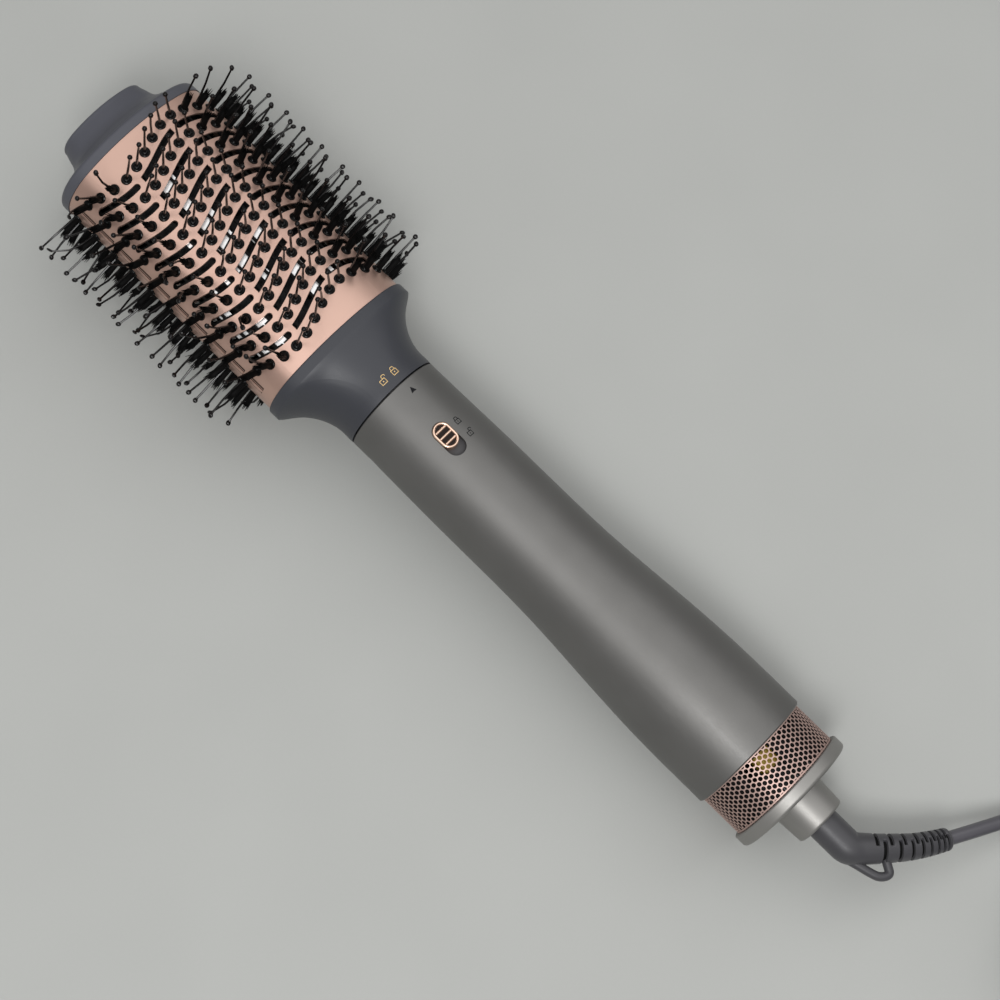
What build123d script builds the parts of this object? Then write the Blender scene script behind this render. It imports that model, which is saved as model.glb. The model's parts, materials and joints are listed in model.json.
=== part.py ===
from build123d import *
import os
from math import asin, atan2, cos, degrees, hypot, pi, radians, sin, tan

os.makedirs("parts", exist_ok=True)

# Hair dryer brush, in millimetres.
# The brush is drawn about its own long axis: Z runs from the head towards the tail, with zero at the
# seam between head and handle, Y comes out of one flat face of the head, and X points to the side
# that the cord leaves by. The last section lays it on its pins and its dial, ready for use.

# Head
OVAL_TURN = 65.9
BARREL_HALF_WIDTH = 31.05
BARREL_HALF_DEPTH = 20.0
BARREL_WALL = 0.9
BARREL_START = -126.5
BARREL_END = -27.75
LIP = 0.8
KNOB_END = -144.0
BED_GAP = 0.2
BED_THICK = 1.4

# Rows of pins run along the head and are numbered by halves from the middle of a flat face.
ROW_COUNT = 30
COLUMN_COUNT = 10
FIRST_COLUMN = -118.8
COLUMN_PITCH = 9.09
WAVE_HEIGHT = 3.48
WAVE_ROWS = 10
FLAT_ROWS = (-2.5, -1.5, -0.5, 0.5, 1.5, 2.5)
EDGE_ROWS = (3.5, 4.5, 5.5, 6.5, 7.5, 8.5, 9.5, 10.5, 11.5)
SEAM_ROW = 6.5
BOSS_RADIUS = 1.85
BOSS_HOLE_RADIUS = 1.95
BOSS_PROUD = 0.4
PIN_HEIGHT = 18.0
PIN_SIDE = 0.8
TUFT_HEIGHT = 9.3
TUFT_SIDE = 1.2
TUFT_OFFSET = 0.8
STRAND_ROOT = 1.8
VENT_HALF_WIDTH = 1.25
MIDDLE_VENT = (-1.8, 1.8)
SIDE_VENT = (2.4, 5.1)

# Handle
SEAM_GAP = 0.25
HANDLE_OUTLINE = ((19.0, 0.0), (19.5, 40.0), (20.0, 87.0), (21.8, 114.0), (23.1, 137.0), (23.4, 170.0))
HANDLE_WALL = 1.6
SPIGOT_RADIUS = 15.6
SPIGOT_GROOVE_RADIUS = 14.6
SPIGOT_BORE_RADIUS = 12.6
SPIGOT_NOSE = -26.0
SOCKET_BORE_RADIUS = 16.5
SOCKET_RADIUS = 17.8
DUCT_RADIUS = 14.6
FAN_DUCT_RADIUS = 20.6
DUCT_WALL = 1.2

# Release button
BUTTON_LENGTH = 10.1
BUTTON_WIDTH = 6.8
BUTTON_TRAVEL = 3.3
BUTTON_SLOT_LENGTH = BUTTON_LENGTH + BUTTON_TRAVEL + 0.3
BUTTON_SLOT_WIDTH = 7.0
BUTTON_SLOT_STATION = 25.1

# Tail
GRILLE_START = 170.1
GRILLE_END = 186.0
GRILLE_RADIUS = 22.2
GRILLE_WALL = 0.6
GRILLE_HOLE_RADIUS = 1.2
DIAL_RADIUS = 23.8
DIAL_FRONT = 186.2
DIAL_BACK = 191.1
DIAL_EDGE = 1.3
DIAL_TURN = 90.0
TAIL_BOSS_RADIUS = 10.1
TAIL_BOSS_TIP_RADIUS = 9.5
TAIL_BOSS_END = 203.3

# Strain relief and cord
RELIEF_RADIUS = 5.95
RELIEF_START = 194.2
RELIEF_ELBOW = 216.0
RELIEF_RUNS = ((11.6, 44.5, 2), (14.6, 48.5, 6), (10.5, 60.5, 13))
CORD_DIAMETER = 5.0
COIL_RADIUS = 36.0
COIL_PITCH = 5.5
COIL_LAYERS = 4
LAYER_TURNS = 2.25
PLUG_LENGTH = 38.0
PLUG_WIDTH = 35.3
PLUG_THICK = 13.7
PLUG_PIN_RADIUS = 2.0
PLUG_PIN_LENGTH = 19.0
PLUG_PIN_SPACING = 18.6

pieces = {}
cord_pieces = {}


# Oval of four arcs: two face arcs and two end arcs that meet at a fixed turn.
def oval_radii(half_width, half_depth):
    turn = radians(OVAL_TURN)
    step = (half_width - half_depth) / (sin(turn) + cos(turn) - 1)
    end_radius = half_width - step * cos(turn)
    return end_radius, end_radius + step


def oval(half_width, half_depth, mode=Mode.ADD):
    end_radius, _ = oval_radii(half_width, half_depth)
    turn = radians(OVAL_TURN)
    x = half_width - end_radius + end_radius * cos(turn)
    y = end_radius * sin(turn)
    with BuildLine() as outline:
        ThreePointArc((x, y), (half_width, 0), (x, -y))
        ThreePointArc((x, -y), (0, -half_depth), (-x, -y))
        ThreePointArc((-x, -y), (-half_width, 0), (-x, y))
        ThreePointArc((-x, y), (0, half_depth), (x, y))
    make_face(outline.edges(), mode=mode)


def oval_section(station, half_width, half_depth):
    with BuildSketch(Plane.XY.offset(station)) as section:
        oval(half_width, half_depth)
    return section.sketch


def oval_loft(sections, mode=Mode.ADD):
    loft([oval_section(*section) for section in sections], mode=mode)


END_RADIUS, FACE_RADIUS = oval_radii(BARREL_HALF_WIDTH, BARREL_HALF_DEPTH)
FACE_ANGLE = radians(90 - OVAL_TURN)
FACE_ARC = FACE_RADIUS * FACE_ANGLE
QUARTER_RIM = FACE_ARC + END_RADIUS * (pi / 2 - FACE_ANGLE)
ROW_PITCH = 4 * QUARTER_RIM / ROW_COUNT
LAST_ROW = ROW_COUNT / 2


def folded(row):
    """The row's number counted from the nearer flat face, so that the back repeats the front."""
    side = 1 if row > 0 else -1
    return side * min(abs(row), LAST_ROW - abs(row))


def rim(row):
    """A row's place on the barrel's section, and the way out of the surface there."""
    side = -1 if row > 0 else 1
    face = 1 if abs(row) <= LAST_ROW / 2 else -1
    arc = abs(folded(row)) * ROW_PITCH
    if arc <= FACE_ARC:
        angle = arc / FACE_RADIUS
        x = FACE_RADIUS * sin(angle)
        y = BARREL_HALF_DEPTH - FACE_RADIUS * (1 - cos(angle))
    else:
        angle = FACE_ANGLE + (arc - FACE_ARC) / END_RADIUS
        x = BARREL_HALF_WIDTH - END_RADIUS + END_RADIUS * sin(angle)
        y = END_RADIUS * cos(angle)
    return side * x, face * y, side * sin(angle), face * cos(angle)


def station(row, column):
    wave = WAVE_HEIGHT * sin(2 * pi * folded(row) / WAVE_ROWS)
    return FIRST_COLUMN + column * COLUMN_PITCH + wave


def flat_planes(face):
    """Planes at the pins of one flat face, all pointing straight out of it."""
    for row in FLAT_ROWS:
        x, y, _, _ = rim(row)
        for column in range(COLUMN_COUNT):
            origin = (x, face * y, station(row, column))
            yield Plane(origin=origin, x_dir=(0, 0, 1), z_dir=(0, face, 0))


def edge_planes(side):
    """Planes at the tufts of one narrow edge, each square to the surface."""
    for row in EDGE_ROWS:
        if side > 0 and row == SEAM_ROW:
            continue
        x, y, out_x, out_y = rim(side * row)
        for column in range(COLUMN_COUNT):
            origin = (x, y, station(side * row, column))
            yield Plane(origin=origin, x_dir=(0, 0, 1), z_dir=(out_x, out_y, 0))


def vents(half_width):
    """Curved vents between the columns, cut straight through both flat faces."""
    for column in range(COLUMN_COUNT - 1):
        for first, last in (MIDDLE_VENT, SIDE_VENT, (-SIDE_VENT[1], -SIDE_VENT[0])):
            rows = [first + (last - first) * step / 4 for step in range(5)]
            middle = [(rim(row)[0], station(row, column + 0.5)) for row in rows]
            with BuildLine() as outline:
                low = Spline(*[(x, z - half_width) for x, z in middle])
                high = Spline(*[(x, z + half_width) for x, z in middle])
                Line(low @ 0, high @ 0)
                Line(low @ 1, high @ 1)
            make_face(outline.edges())
            if (first, last) != MIDDLE_VENT:
                with Locations(middle[0], middle[-1]):
                    Circle(half_width)


def cut_vents(half_width):
    with BuildSketch(Plane.XZ) as openings:
        vents(half_width)
    extrude(openings.sketch, amount=2 * BARREL_HALF_DEPTH, both=True, mode=Mode.SUBTRACT)


# Barrel: an oval aluminium tube with a hole for each boss, and the vents.
with BuildPart() as barrel:
    with BuildSketch(Plane.XY.offset(BARREL_START)):
        oval(BARREL_HALF_WIDTH, BARREL_HALF_DEPTH)
        oval(BARREL_HALF_WIDTH - BARREL_WALL, BARREL_HALF_DEPTH - BARREL_WALL, Mode.SUBTRACT)
    extrude(amount=BARREL_END - BARREL_START)
    cut_vents(VENT_HALF_WIDTH)
    hole_planes = [*flat_planes(1), *flat_planes(-1), *edge_planes(1), *edge_planes(-1)]
    with Locations(*hole_planes):
        Cylinder(BOSS_HOLE_RADIUS, 5, mode=Mode.SUBTRACT)
pieces["barrel"] = barrel


# Pin beds: a slice of carrier plate behind the barrel's wall, with bosses through its holes.
BED_START = BARREL_START + 2.5
BED_END = BARREL_END - 3.3
BED_SPLIT = rim(3)[0]
BED_OUTSIDE = BARREL_WALL + BED_GAP


def bed_plate(region_centre, region_size):
    inside = BED_OUTSIDE + BED_THICK
    with BuildSketch(Plane.XY.offset(BED_START)) as slice_of_ring:
        oval(BARREL_HALF_WIDTH - BED_OUTSIDE, BARREL_HALF_DEPTH - BED_OUTSIDE)
        oval(BARREL_HALF_WIDTH - inside, BARREL_HALF_DEPTH - inside, Mode.SUBTRACT)
        with Locations(region_centre):
            Rectangle(*region_size, mode=Mode.INTERSECT)
    extrude(slice_of_ring.sketch, amount=BED_END - BED_START)
    cut_vents(VENT_HALF_WIDTH + 0.3)


def bosses():
    base = (Align.CENTER, Align.CENTER, Align.MAX)
    depth = BOSS_PROUD + BED_OUTSIDE + 0.3
    Cylinder(BOSS_RADIUS, depth, align=base)


def strand(side, height, offset):
    base = (Align.CENTER, Align.CENTER, Align.MIN)
    with Locations((offset, 0, -STRAND_ROOT)):
        Box(side, side, height + STRAND_ROOT, align=base)


def flat_bed(face):
    half = abs(BED_SPLIT) - 0.15
    bed_plate((0, face * BARREL_HALF_DEPTH), (2 * half, 2 * BARREL_HALF_DEPTH))
    planes = list(flat_planes(face))
    with Locations(*[plane.offset(BOSS_PROUD) for plane in planes]):
        bosses()
    with Locations(*planes):
        strand(PIN_SIDE, PIN_HEIGHT, 0)


def edge_bed(side):
    width = BARREL_HALF_WIDTH - abs(BED_SPLIT)
    centre = -side * (abs(BED_SPLIT) + 0.15 + width / 2)
    bed_plate((centre, 0), (width, 2 * BARREL_HALF_DEPTH))
    planes = list(edge_planes(side))
    with Locations(*[plane.offset(BOSS_PROUD) for plane in planes]):
        bosses()
    with Locations(*planes):
        strand(PIN_SIDE, PIN_HEIGHT, -TUFT_OFFSET)
        strand(TUFT_SIDE, TUFT_HEIGHT, TUFT_OFFSET)


with BuildPart() as front_pins:
    flat_bed(1)
pieces["front_pins"] = front_pins

with BuildPart() as back_pins:
    flat_bed(-1)
pieces["back_pins"] = back_pins

with BuildPart() as left_bristles:
    edge_bed(1)
pieces["left_bristles"] = left_bristles

with BuildPart() as right_bristles:
    edge_bed(-1)
pieces["right_bristles"] = right_bristles


# End cap: a rounded flange over the barrel's end, a drawn-in waist and an oval knob to hold.
CAP_FACE = BARREL_START - 0.1
CAP_FLANGE = 4.3
CAP_OUTSIDE = (
    (CAP_FACE - CAP_FLANGE + 0.5, 29.4, 18.8),
    (-131.2, 28.0, 18.2),
    (-132.3, 25.4, 17.0),
    (-133.6, 22.8, 15.4),
    (-135.2, 20.6, 13.6),
    (-137.4, 19.2, 12.1),
    (-140.2, 18.4, 11.1),
    (KNOB_END, 18.0, 10.5),
)
CAP_WALL = 1.8

with BuildPart() as end_cap:
    with BuildSketch(Plane.XY.offset(CAP_FACE)):
        oval(BARREL_HALF_WIDTH + 0.3, BARREL_HALF_DEPTH + 0.3)
    extrude(amount=-CAP_FLANGE)
    fillet(end_cap.faces().sort_by(Axis.Z)[0].edges(), 1.5)
    oval_loft(CAP_OUTSIDE)
    fillet(end_cap.faces().sort_by(Axis.Z)[0].edges(), 1.3)
    inside = [(z + CAP_WALL, a - CAP_WALL, c - CAP_WALL) for z, a, c in CAP_OUTSIDE]
    oval_loft(inside[1:], Mode.SUBTRACT)
    with BuildSketch(Plane.XY.offset(CAP_FACE)):
        oval(18.0, 12.1)
    extrude(amount=-4.5, mode=Mode.SUBTRACT)
    with BuildSketch(Plane.XY.offset(CAP_FACE)):
        oval(BARREL_HALF_WIDTH - 1.1, BARREL_HALF_DEPTH - 1.1)
        oval(BARREL_HALF_WIDTH - 2.4, BARREL_HALF_DEPTH - 2.4, Mode.SUBTRACT)
    extrude(amount=1.8)
pieces["end_cap"] = end_cap


# Neck collar: a lip round the barrel's end, then a flare down to the round neck.
COLLAR_FACE = BARREL_END + 0.1
COLLAR_FLARE = (
    (-23.7, BARREL_HALF_WIDTH + LIP),
    (-22.2, 29.9),
    (-20.0, 26.8),
    (-17.0, 23.8),
    (-13.5, 21.5),
    (-9.5, 19.8),
    (-5.0, 19.05),
    (-SEAM_GAP, 19.0),
)
NECK_RADIUS = 19.0
NECK_BORE_RADIUS = 18.0
LIP_HALF_WIDTH = BARREL_HALF_WIDTH + LIP
LIP_HALF_DEPTH = BARREL_HALF_DEPTH + LIP


def collar_half_depth(half_width):
    share = (half_width - NECK_RADIUS) / (LIP_HALF_WIDTH - NECK_RADIUS)
    return NECK_RADIUS + share * (LIP_HALF_DEPTH - NECK_RADIUS)


def collar_inside(station, half_width):
    half_depth = collar_half_depth(half_width) - 1.6
    return station, max(half_width - 2.0, NECK_BORE_RADIUS), max(half_depth, NECK_BORE_RADIUS)


with BuildPart() as neck_collar:
    with BuildSketch(Plane.XY.offset(COLLAR_FACE)):
        oval(LIP_HALF_WIDTH, LIP_HALF_DEPTH)
    extrude(amount=COLLAR_FLARE[0][0] - COLLAR_FACE)
    fillet(neck_collar.faces().sort_by(Axis.Z)[0].edges(), 0.5)
    oval_loft([(z, a, collar_half_depth(a)) for z, a in COLLAR_FLARE])
    hollow = [collar_inside(z, a) for z, a in ((-23.7, 31.2), *COLLAR_FLARE[1:-2])]
    oval_loft([*hollow, (-4.0, NECK_BORE_RADIUS, NECK_BORE_RADIUS)], Mode.SUBTRACT)
    with BuildSketch(Plane.XY.offset(-4.5)):
        Circle(NECK_BORE_RADIUS + 0.1)
    extrude(amount=4.5, mode=Mode.SUBTRACT)
    with BuildSketch(Plane.XY.offset(COLLAR_FACE)):
        oval(LIP_HALF_WIDTH - 2.6, LIP_HALF_DEPTH - 2.4)
    extrude(amount=COLLAR_FLARE[0][0] - COLLAR_FACE, mode=Mode.SUBTRACT)
pieces["neck_collar"] = neck_collar


# Inside the head: a bright air guide, a cross-shaped spine, and a plate that closes the barrel.
GUIDE_HALF_WIDTH = 21.0
GUIDE_HALF_DEPTH = 11.6
GUIDE_WALL = 0.5
SPINE_WALL = 1.6
SPINE_SCREW_PLACES = ((-12, 0), (12, 0))
PLATE_THICK = 1.6
PLATE_FACE = BARREL_START + 1.5
SPINE_START = PLATE_FACE + PLATE_THICK + 0.05
SPINE_END = BARREL_END - 2.7
SCREW_RADIUS = 1.4

with BuildPart() as air_guide:
    with BuildSketch(Plane.XY.offset(SPINE_START + 1.0)):
        oval(GUIDE_HALF_WIDTH, GUIDE_HALF_DEPTH)
        oval(GUIDE_HALF_WIDTH - GUIDE_WALL, GUIDE_HALF_DEPTH - GUIDE_WALL, Mode.SUBTRACT)
    extrude(amount=SPINE_END - SPINE_START - 2.0)
    with BuildSketch(Plane.XZ):
        with Locations((0, (SPINE_START + SPINE_END) / 2)):
            with GridLocations(14, 13, 2, 6):
                SlotOverall(9, 2.4)
    extrude(amount=2 * GUIDE_HALF_DEPTH, both=True, mode=Mode.SUBTRACT)
pieces["air_guide"] = air_guide

with BuildPart() as core_spine:
    with BuildSketch(Plane.XY.offset(SPINE_START)):
        Rectangle(2 * GUIDE_HALF_WIDTH - 3.0, SPINE_WALL)
        Rectangle(SPINE_WALL, 2 * GUIDE_HALF_DEPTH - 3.0)
        with Locations(*SPINE_SCREW_PLACES):
            Circle(3.0)
    extrude(amount=SPINE_END - SPINE_START)
    with Locations(*[(x, y, SPINE_START) for x, y in SPINE_SCREW_PLACES]):
        Cylinder(SCREW_RADIUS + 0.05, 24, mode=Mode.SUBTRACT)
pieces["core_spine"] = core_spine

with BuildPart() as barrel_end_plate:
    with BuildSketch(Plane.XY.offset(PLATE_FACE)):
        oval(BARREL_HALF_WIDTH - 2.6, BARREL_HALF_DEPTH - 2.6)
        with Locations(*SPINE_SCREW_PLACES):
            Circle(SCREW_RADIUS + 0.2, mode=Mode.SUBTRACT)
    extrude(amount=PLATE_THICK)
pieces["barrel_end_plate"] = barrel_end_plate

with BuildPart() as head_screws:
    with Locations(*[(x, y, PLATE_FACE - 0.05) for x, y in SPINE_SCREW_PLACES]):
        Cylinder(2.6, 1.6, align=(Align.CENTER, Align.CENTER, Align.MAX))
        Cylinder(SCREW_RADIUS, 10, align=(Align.CENTER, Align.CENTER, Align.MIN))
pieces["head_screws"] = head_screws


# Bayonet socket: a flanged tube in the collar, with three grooves that the bayonet ring's keys slide in.
SOCKET_FLANGE_START = BARREL_END - 2.5
SOCKET_END = -1.0
KEY_COUNT = 3
KEY_RADIUS = 17.0
KEY_WIDTH = 4.0
GROOVE_RADIUS = 17.35

with BuildPart() as bayonet_socket:
    with BuildSketch(Plane.XY.offset(SOCKET_FLANGE_START)):
        oval(BARREL_HALF_WIDTH - BARREL_WALL - 0.1, BARREL_HALF_DEPTH - BARREL_WALL - 0.1)
    extrude(amount=2.0)
    with BuildSketch(Plane.XY.offset(SOCKET_FLANGE_START)):
        Circle(SOCKET_RADIUS)
    extrude(amount=SOCKET_END - SOCKET_FLANGE_START)
    with BuildSketch(Plane.XY.offset(SOCKET_FLANGE_START)):
        Circle(SOCKET_BORE_RADIUS)
        with PolarLocations(0, KEY_COUNT, start_angle=30):
            with Locations((GROOVE_RADIUS / 2, 0)):
                Rectangle(GROOVE_RADIUS, KEY_WIDTH + 0.6)
    extrude(amount=SOCKET_END - SOCKET_FLANGE_START, mode=Mode.SUBTRACT)
pieces["bayonet_socket"] = bayonet_socket

RING_START = -19.9
RING_LENGTH = 7.8
RING_OUTER_RADIUS = 16.1

with BuildPart() as bayonet_ring:
    with BuildSketch(Plane.XY.offset(RING_START)):
        Circle(RING_OUTER_RADIUS)
        with PolarLocations(0, KEY_COUNT, start_angle=30):
            with Locations((KEY_RADIUS / 2, 0)):
                Rectangle(KEY_RADIUS, KEY_WIDTH)
        Circle(SPIGOT_GROOVE_RADIUS + 0.06, mode=Mode.SUBTRACT)
        with Locations((0, -SPIGOT_RADIUS)):
            Rectangle(3, 6, mode=Mode.SUBTRACT)
    extrude(amount=RING_LENGTH)
pieces["bayonet_ring"] = bayonet_ring


# Handle sleeve: one turned shell with a stadium slot for the release button.
def sleeve_bore_radius(radius):
    return radius - HANDLE_WALL


with BuildPart() as handle_sleeve:
    with BuildSketch(Plane.XZ):
        with BuildLine():
            start = (HANDLE_OUTLINE[0][0], SEAM_GAP)
            outside = Spline(start, *HANDLE_OUTLINE[1:], tangents=((0, 1), (0, 1)))
            inner = [(sleeve_bore_radius(r), z) for r, z in (start, *HANDLE_OUTLINE[1:])]
            bore = Spline(*inner, tangents=((0, 1), (0, 1)))
            Line(outside @ 0, bore @ 0)
            Line(outside @ 1, bore @ 1)
        make_face()
    revolve(axis=Axis.Z)
    chamfer(handle_sleeve.edges().group_by(Axis.Z)[-1].sort_by(SortBy.RADIUS)[-1], 0.5)
    chamfer(handle_sleeve.edges().group_by(Axis.Z)[0].sort_by(SortBy.RADIUS)[-1], 0.25)
    with Locations((0, 0, HANDLE_OUTLINE[-1][1])):
        Cylinder(GRILLE_RADIUS + 0.05, 8, mode=Mode.SUBTRACT)
    with BuildSketch(Plane.XZ.offset(-10)):
        with Locations((0, BUTTON_SLOT_STATION)):
            SlotOverall(BUTTON_SLOT_LENGTH, BUTTON_SLOT_WIDTH, rotation=90)
    extrude(amount=-15, mode=Mode.SUBTRACT)
pieces["handle_sleeve"] = handle_sleeve


# Spigot: the fixed nose of the handle that the head turns and slides on.
SPIGOT_FLANGE_START = 0.6
SPIGOT_FLANGE_END = 3.0
SPIGOT_END = 10.0
LATCH_NOTCH_WIDTH = 6.4
SEAL_STATION = -23.5
SEAL_RADIUS = 0.7

with BuildPart() as spigot:
    with BuildSketch(Plane.XY.offset(SPIGOT_NOSE)):
        Circle(SPIGOT_RADIUS)
    extrude(amount=SPIGOT_FLANGE_START - SPIGOT_NOSE)
    with BuildSketch(Plane.XY.offset(SPIGOT_FLANGE_START)):
        Circle(HANDLE_OUTLINE[0][0] - HANDLE_WALL - 0.1)
    extrude(amount=SPIGOT_FLANGE_END - SPIGOT_FLANGE_START)
    with BuildSketch(Plane.XY.offset(SPIGOT_FLANGE_END)):
        Circle(DUCT_RADIUS)
    extrude(amount=SPIGOT_END - SPIGOT_FLANGE_END)
    with BuildSketch(Plane.XY.offset(RING_START - 0.3)):
        Circle(SPIGOT_RADIUS + 1)
        Circle(SPIGOT_GROOVE_RADIUS, mode=Mode.SUBTRACT)
    extrude(amount=RING_LENGTH + 0.6, mode=Mode.SUBTRACT)
    with BuildSketch(Plane.XY.offset(SEAL_STATION - SEAL_RADIUS)):
        Circle(SPIGOT_RADIUS + 1)
        Circle(SPIGOT_RADIUS - 2 * SEAL_RADIUS + 0.3, mode=Mode.SUBTRACT)
    extrude(amount=2 * SEAL_RADIUS, mode=Mode.SUBTRACT)
    with BuildSketch(Plane.XY.offset(SPIGOT_NOSE)):
        Circle(SPIGOT_BORE_RADIUS)
    extrude(amount=SPIGOT_END - SPIGOT_NOSE, mode=Mode.SUBTRACT)
    with Locations((0, SPIGOT_RADIUS + 2.0, SPIGOT_FLANGE_START)):
        Box(LATCH_NOTCH_WIDTH, 4, 6, mode=Mode.SUBTRACT)
pieces["spigot"] = spigot

with BuildPart() as spigot_seal:
    with Locations((0, 0, SEAL_STATION)):
        Torus(SPIGOT_RADIUS - SEAL_RADIUS + 0.4, SEAL_RADIUS - 0.05)
pieces["spigot_seal"] = spigot_seal

with BuildPart() as outlet_guard:
    with BuildSketch(Plane.XY.offset(SPIGOT_NOSE + 0.5)):
        Circle(SPIGOT_BORE_RADIUS - 0.05)
        Circle(SPIGOT_BORE_RADIUS - 1.3, mode=Mode.SUBTRACT)
        Circle(7.0)
        Circle(6.0, mode=Mode.SUBTRACT)
        with PolarLocations(0, 3):
            Rectangle(2 * SPIGOT_BORE_RADIUS - 1.2, 1.0)
    extrude(amount=1.5)
pieces["outlet_guard"] = outlet_guard


# Air duct: two half shells from the fan to the spigot, narrow round the heater and wide round the fan.
DUCT_START = 10.1
DUCT_CONE_START = 96.0
DUCT_CONE_END = 128.0
DUCT_END = 165.9


def duct_half(keep):
    outside = [
        (DUCT_RADIUS, DUCT_START),
        (DUCT_RADIUS, DUCT_CONE_START),
        (FAN_DUCT_RADIUS, DUCT_CONE_END),
        (FAN_DUCT_RADIUS, DUCT_END),
    ]
    inside = [(radius - DUCT_WALL, z) for radius, z in reversed(outside)]
    with BuildSketch(Plane.XZ) as wall:
        with BuildLine() as outline:
            Polyline(*outside, *inside, close=True)
        make_face(outline.edges())
    revolve(wall.sketch, axis=Axis.Z)
    split(bisect_by=Plane.YZ, keep=keep)


with BuildPart() as duct_right:
    duct_half(Keep.TOP)
pieces["duct_right"] = duct_right

with BuildPart() as duct_left:
    duct_half(Keep.BOTTOM)
pieces["duct_left"] = duct_left


# Heater: a mica lining, two crossed mica boards, the wound wire, a thermostat and a thermal fuse.
HEATER_START = 16.0
HEATER_END = 88.0
BOARD_HALF_WIDTH = 11.0
BOARD_THICK = 0.6
WIRE_RADIUS = 0.35
WIRE_TURNS = 9

with BuildPart() as mica_liner:
    with BuildSketch(Plane.XY.offset(HEATER_START - 2)):
        Circle(DUCT_RADIUS - DUCT_WALL - 0.1)
        Circle(DUCT_RADIUS - DUCT_WALL - 0.5, mode=Mode.SUBTRACT)
    extrude(amount=HEATER_END - HEATER_START + 4)
pieces["mica_liner"] = mica_liner


def mica_board(size, slot_size, slot_centre):
    with Locations((0, 0, (HEATER_START + HEATER_END) / 2)):
        Box(*size, HEATER_END - HEATER_START)
        with Locations((0, 0, slot_centre)):
            Box(*slot_size, (HEATER_END - HEATER_START) / 2 + 0.1, mode=Mode.SUBTRACT)


BOARD_SLOT = BOARD_THICK + 0.1
BOARD_QUARTER = (HEATER_END - HEATER_START) / 4

with BuildPart() as mica_board_upright:
    mica_board((BOARD_THICK, 2 * BOARD_HALF_WIDTH), (BOARD_THICK + 1, BOARD_SLOT), BOARD_QUARTER)
pieces["mica_board_upright"] = mica_board_upright

with BuildPart() as mica_board_cross:
    mica_board((2 * BOARD_HALF_WIDTH, BOARD_THICK), (BOARD_SLOT, BOARD_THICK + 1), -BOARD_QUARTER)
pieces["mica_board_cross"] = mica_board_cross


# Wound paths: each step from one point to the next is two arcs that share a tangent.
def arc_pair(first, first_way, last, last_way):
    """Two circular arcs from first to last that leave and arrive along the given ways."""
    span = last - first
    both = first_way + last_way
    quadratic = 2 * (1 - first_way.dot(last_way))
    linear = span.dot(both)
    if quadratic < 1e-9:
        reach = span.dot(span) / (2 * linear)
    else:
        reach = (hypot(linear, (quadratic * span.dot(span)) ** 0.5) - linear) / quadratic
    inner = first + first_way * reach
    outer = last - last_way * reach
    middle = (inner + outer) * 0.5
    TangentArc(first, middle, tangent=first_way)
    TangentArc(middle, last, tangent=(outer - inner).normalized())


def wound_line(points, ways):
    with BuildLine() as path:
        for step in range(len(points) - 1):
            arc_pair(points[step], ways[step], points[step + 1], ways[step + 1])
    return path.wires()[0]


def round_wire(path, radius):
    with BuildSketch(Plane(origin=path @ 0, z_dir=path % 0)) as section:
        Circle(radius)
    sweep(section.sketch, path=path)


def helix_points(radius, start, rise, turns, steps_per_turn=4):
    points, ways = [], []
    for step in range(turns * steps_per_turn + 1):
        angle = 2 * pi * step / steps_per_turn
        points.append(Vector(radius * cos(angle), radius * sin(angle), start + rise * angle / (2 * pi)))
        ways.append(Vector(-sin(angle), cos(angle), rise / (2 * pi * radius)).normalized())
    return points, ways


with BuildPart() as heater_coil:
    wire_radius = BOARD_HALF_WIDTH + WIRE_RADIUS + 0.15
    rise = (HEATER_END - HEATER_START - 6) / WIRE_TURNS
    round_wire(wound_line(*helix_points(wire_radius, HEATER_START + 3, rise, WIRE_TURNS)), WIRE_RADIUS)
pieces["heater_coil"] = heater_coil

with BuildPart() as thermostat:
    with Locations((4.6, 4.6, 52)):
        Box(5, 5, 12)
    with Locations((4.6, 4.6, 58.5)):
        Cylinder(2.2, 1.4)
pieces["thermostat"] = thermostat

with BuildPart() as thermal_fuse:
    with Locations((-4.5, -4.5, 60)):
        Cylinder(1.9, 11)
    with Locations((-4.5, -4.5, 60)):
        Cylinder(0.5, 24)
pieces["thermal_fuse"] = thermal_fuse


# Motor, its rubber damper, the guide vanes that hold it in the duct, and the fan it turns.
MOTOR_START = 122.0
MOTOR_END = 150.0
MOTOR_RADIUS = 13.0
SHAFT_RADIUS = 1.0
SHAFT_CLEARANCE = 0.05
VANE_START = 130.0
VANE_LENGTH = 14.0
VANE_COUNT = 6
FAN_START = 152.2
FAN_LENGTH = 11.0
FAN_RADIUS = 18.5
FAN_BLADES = 7
FAN_BLADE_PITCH = 38.0

with BuildPart() as motor:
    with BuildSketch(Plane.XY.offset(MOTOR_START)):
        Circle(MOTOR_RADIUS)
    extrude(amount=MOTOR_END - MOTOR_START)
    fillet(motor.edges().filter_by(GeomType.CIRCLE), 1.2)
    with BuildSketch(Plane.XY.offset(MOTOR_START - 1.8)):
        Circle(4.0)
    extrude(amount=MOTOR_END - MOTOR_START + 3.3)
    with Locations((0, 0, (MOTOR_START + MOTOR_END) / 2)):
        Cylinder(SHAFT_RADIUS + SHAFT_CLEARANCE, 60, mode=Mode.SUBTRACT)
    with BuildSketch(Plane.XY.offset(MOTOR_START - 1)):
        with PolarLocations(8.5, 4, start_angle=45):
            SlotOverall(6, 2.6, rotation=90)
    extrude(amount=3, mode=Mode.SUBTRACT)
pieces["motor"] = motor

with BuildPart() as motor_shaft:
    with BuildSketch(Plane.XY.offset(MOTOR_START - 3)):
        Circle(SHAFT_RADIUS)
    extrude(amount=FAN_START + FAN_LENGTH - MOTOR_START + 2)
pieces["motor_shaft"] = motor_shaft

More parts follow.
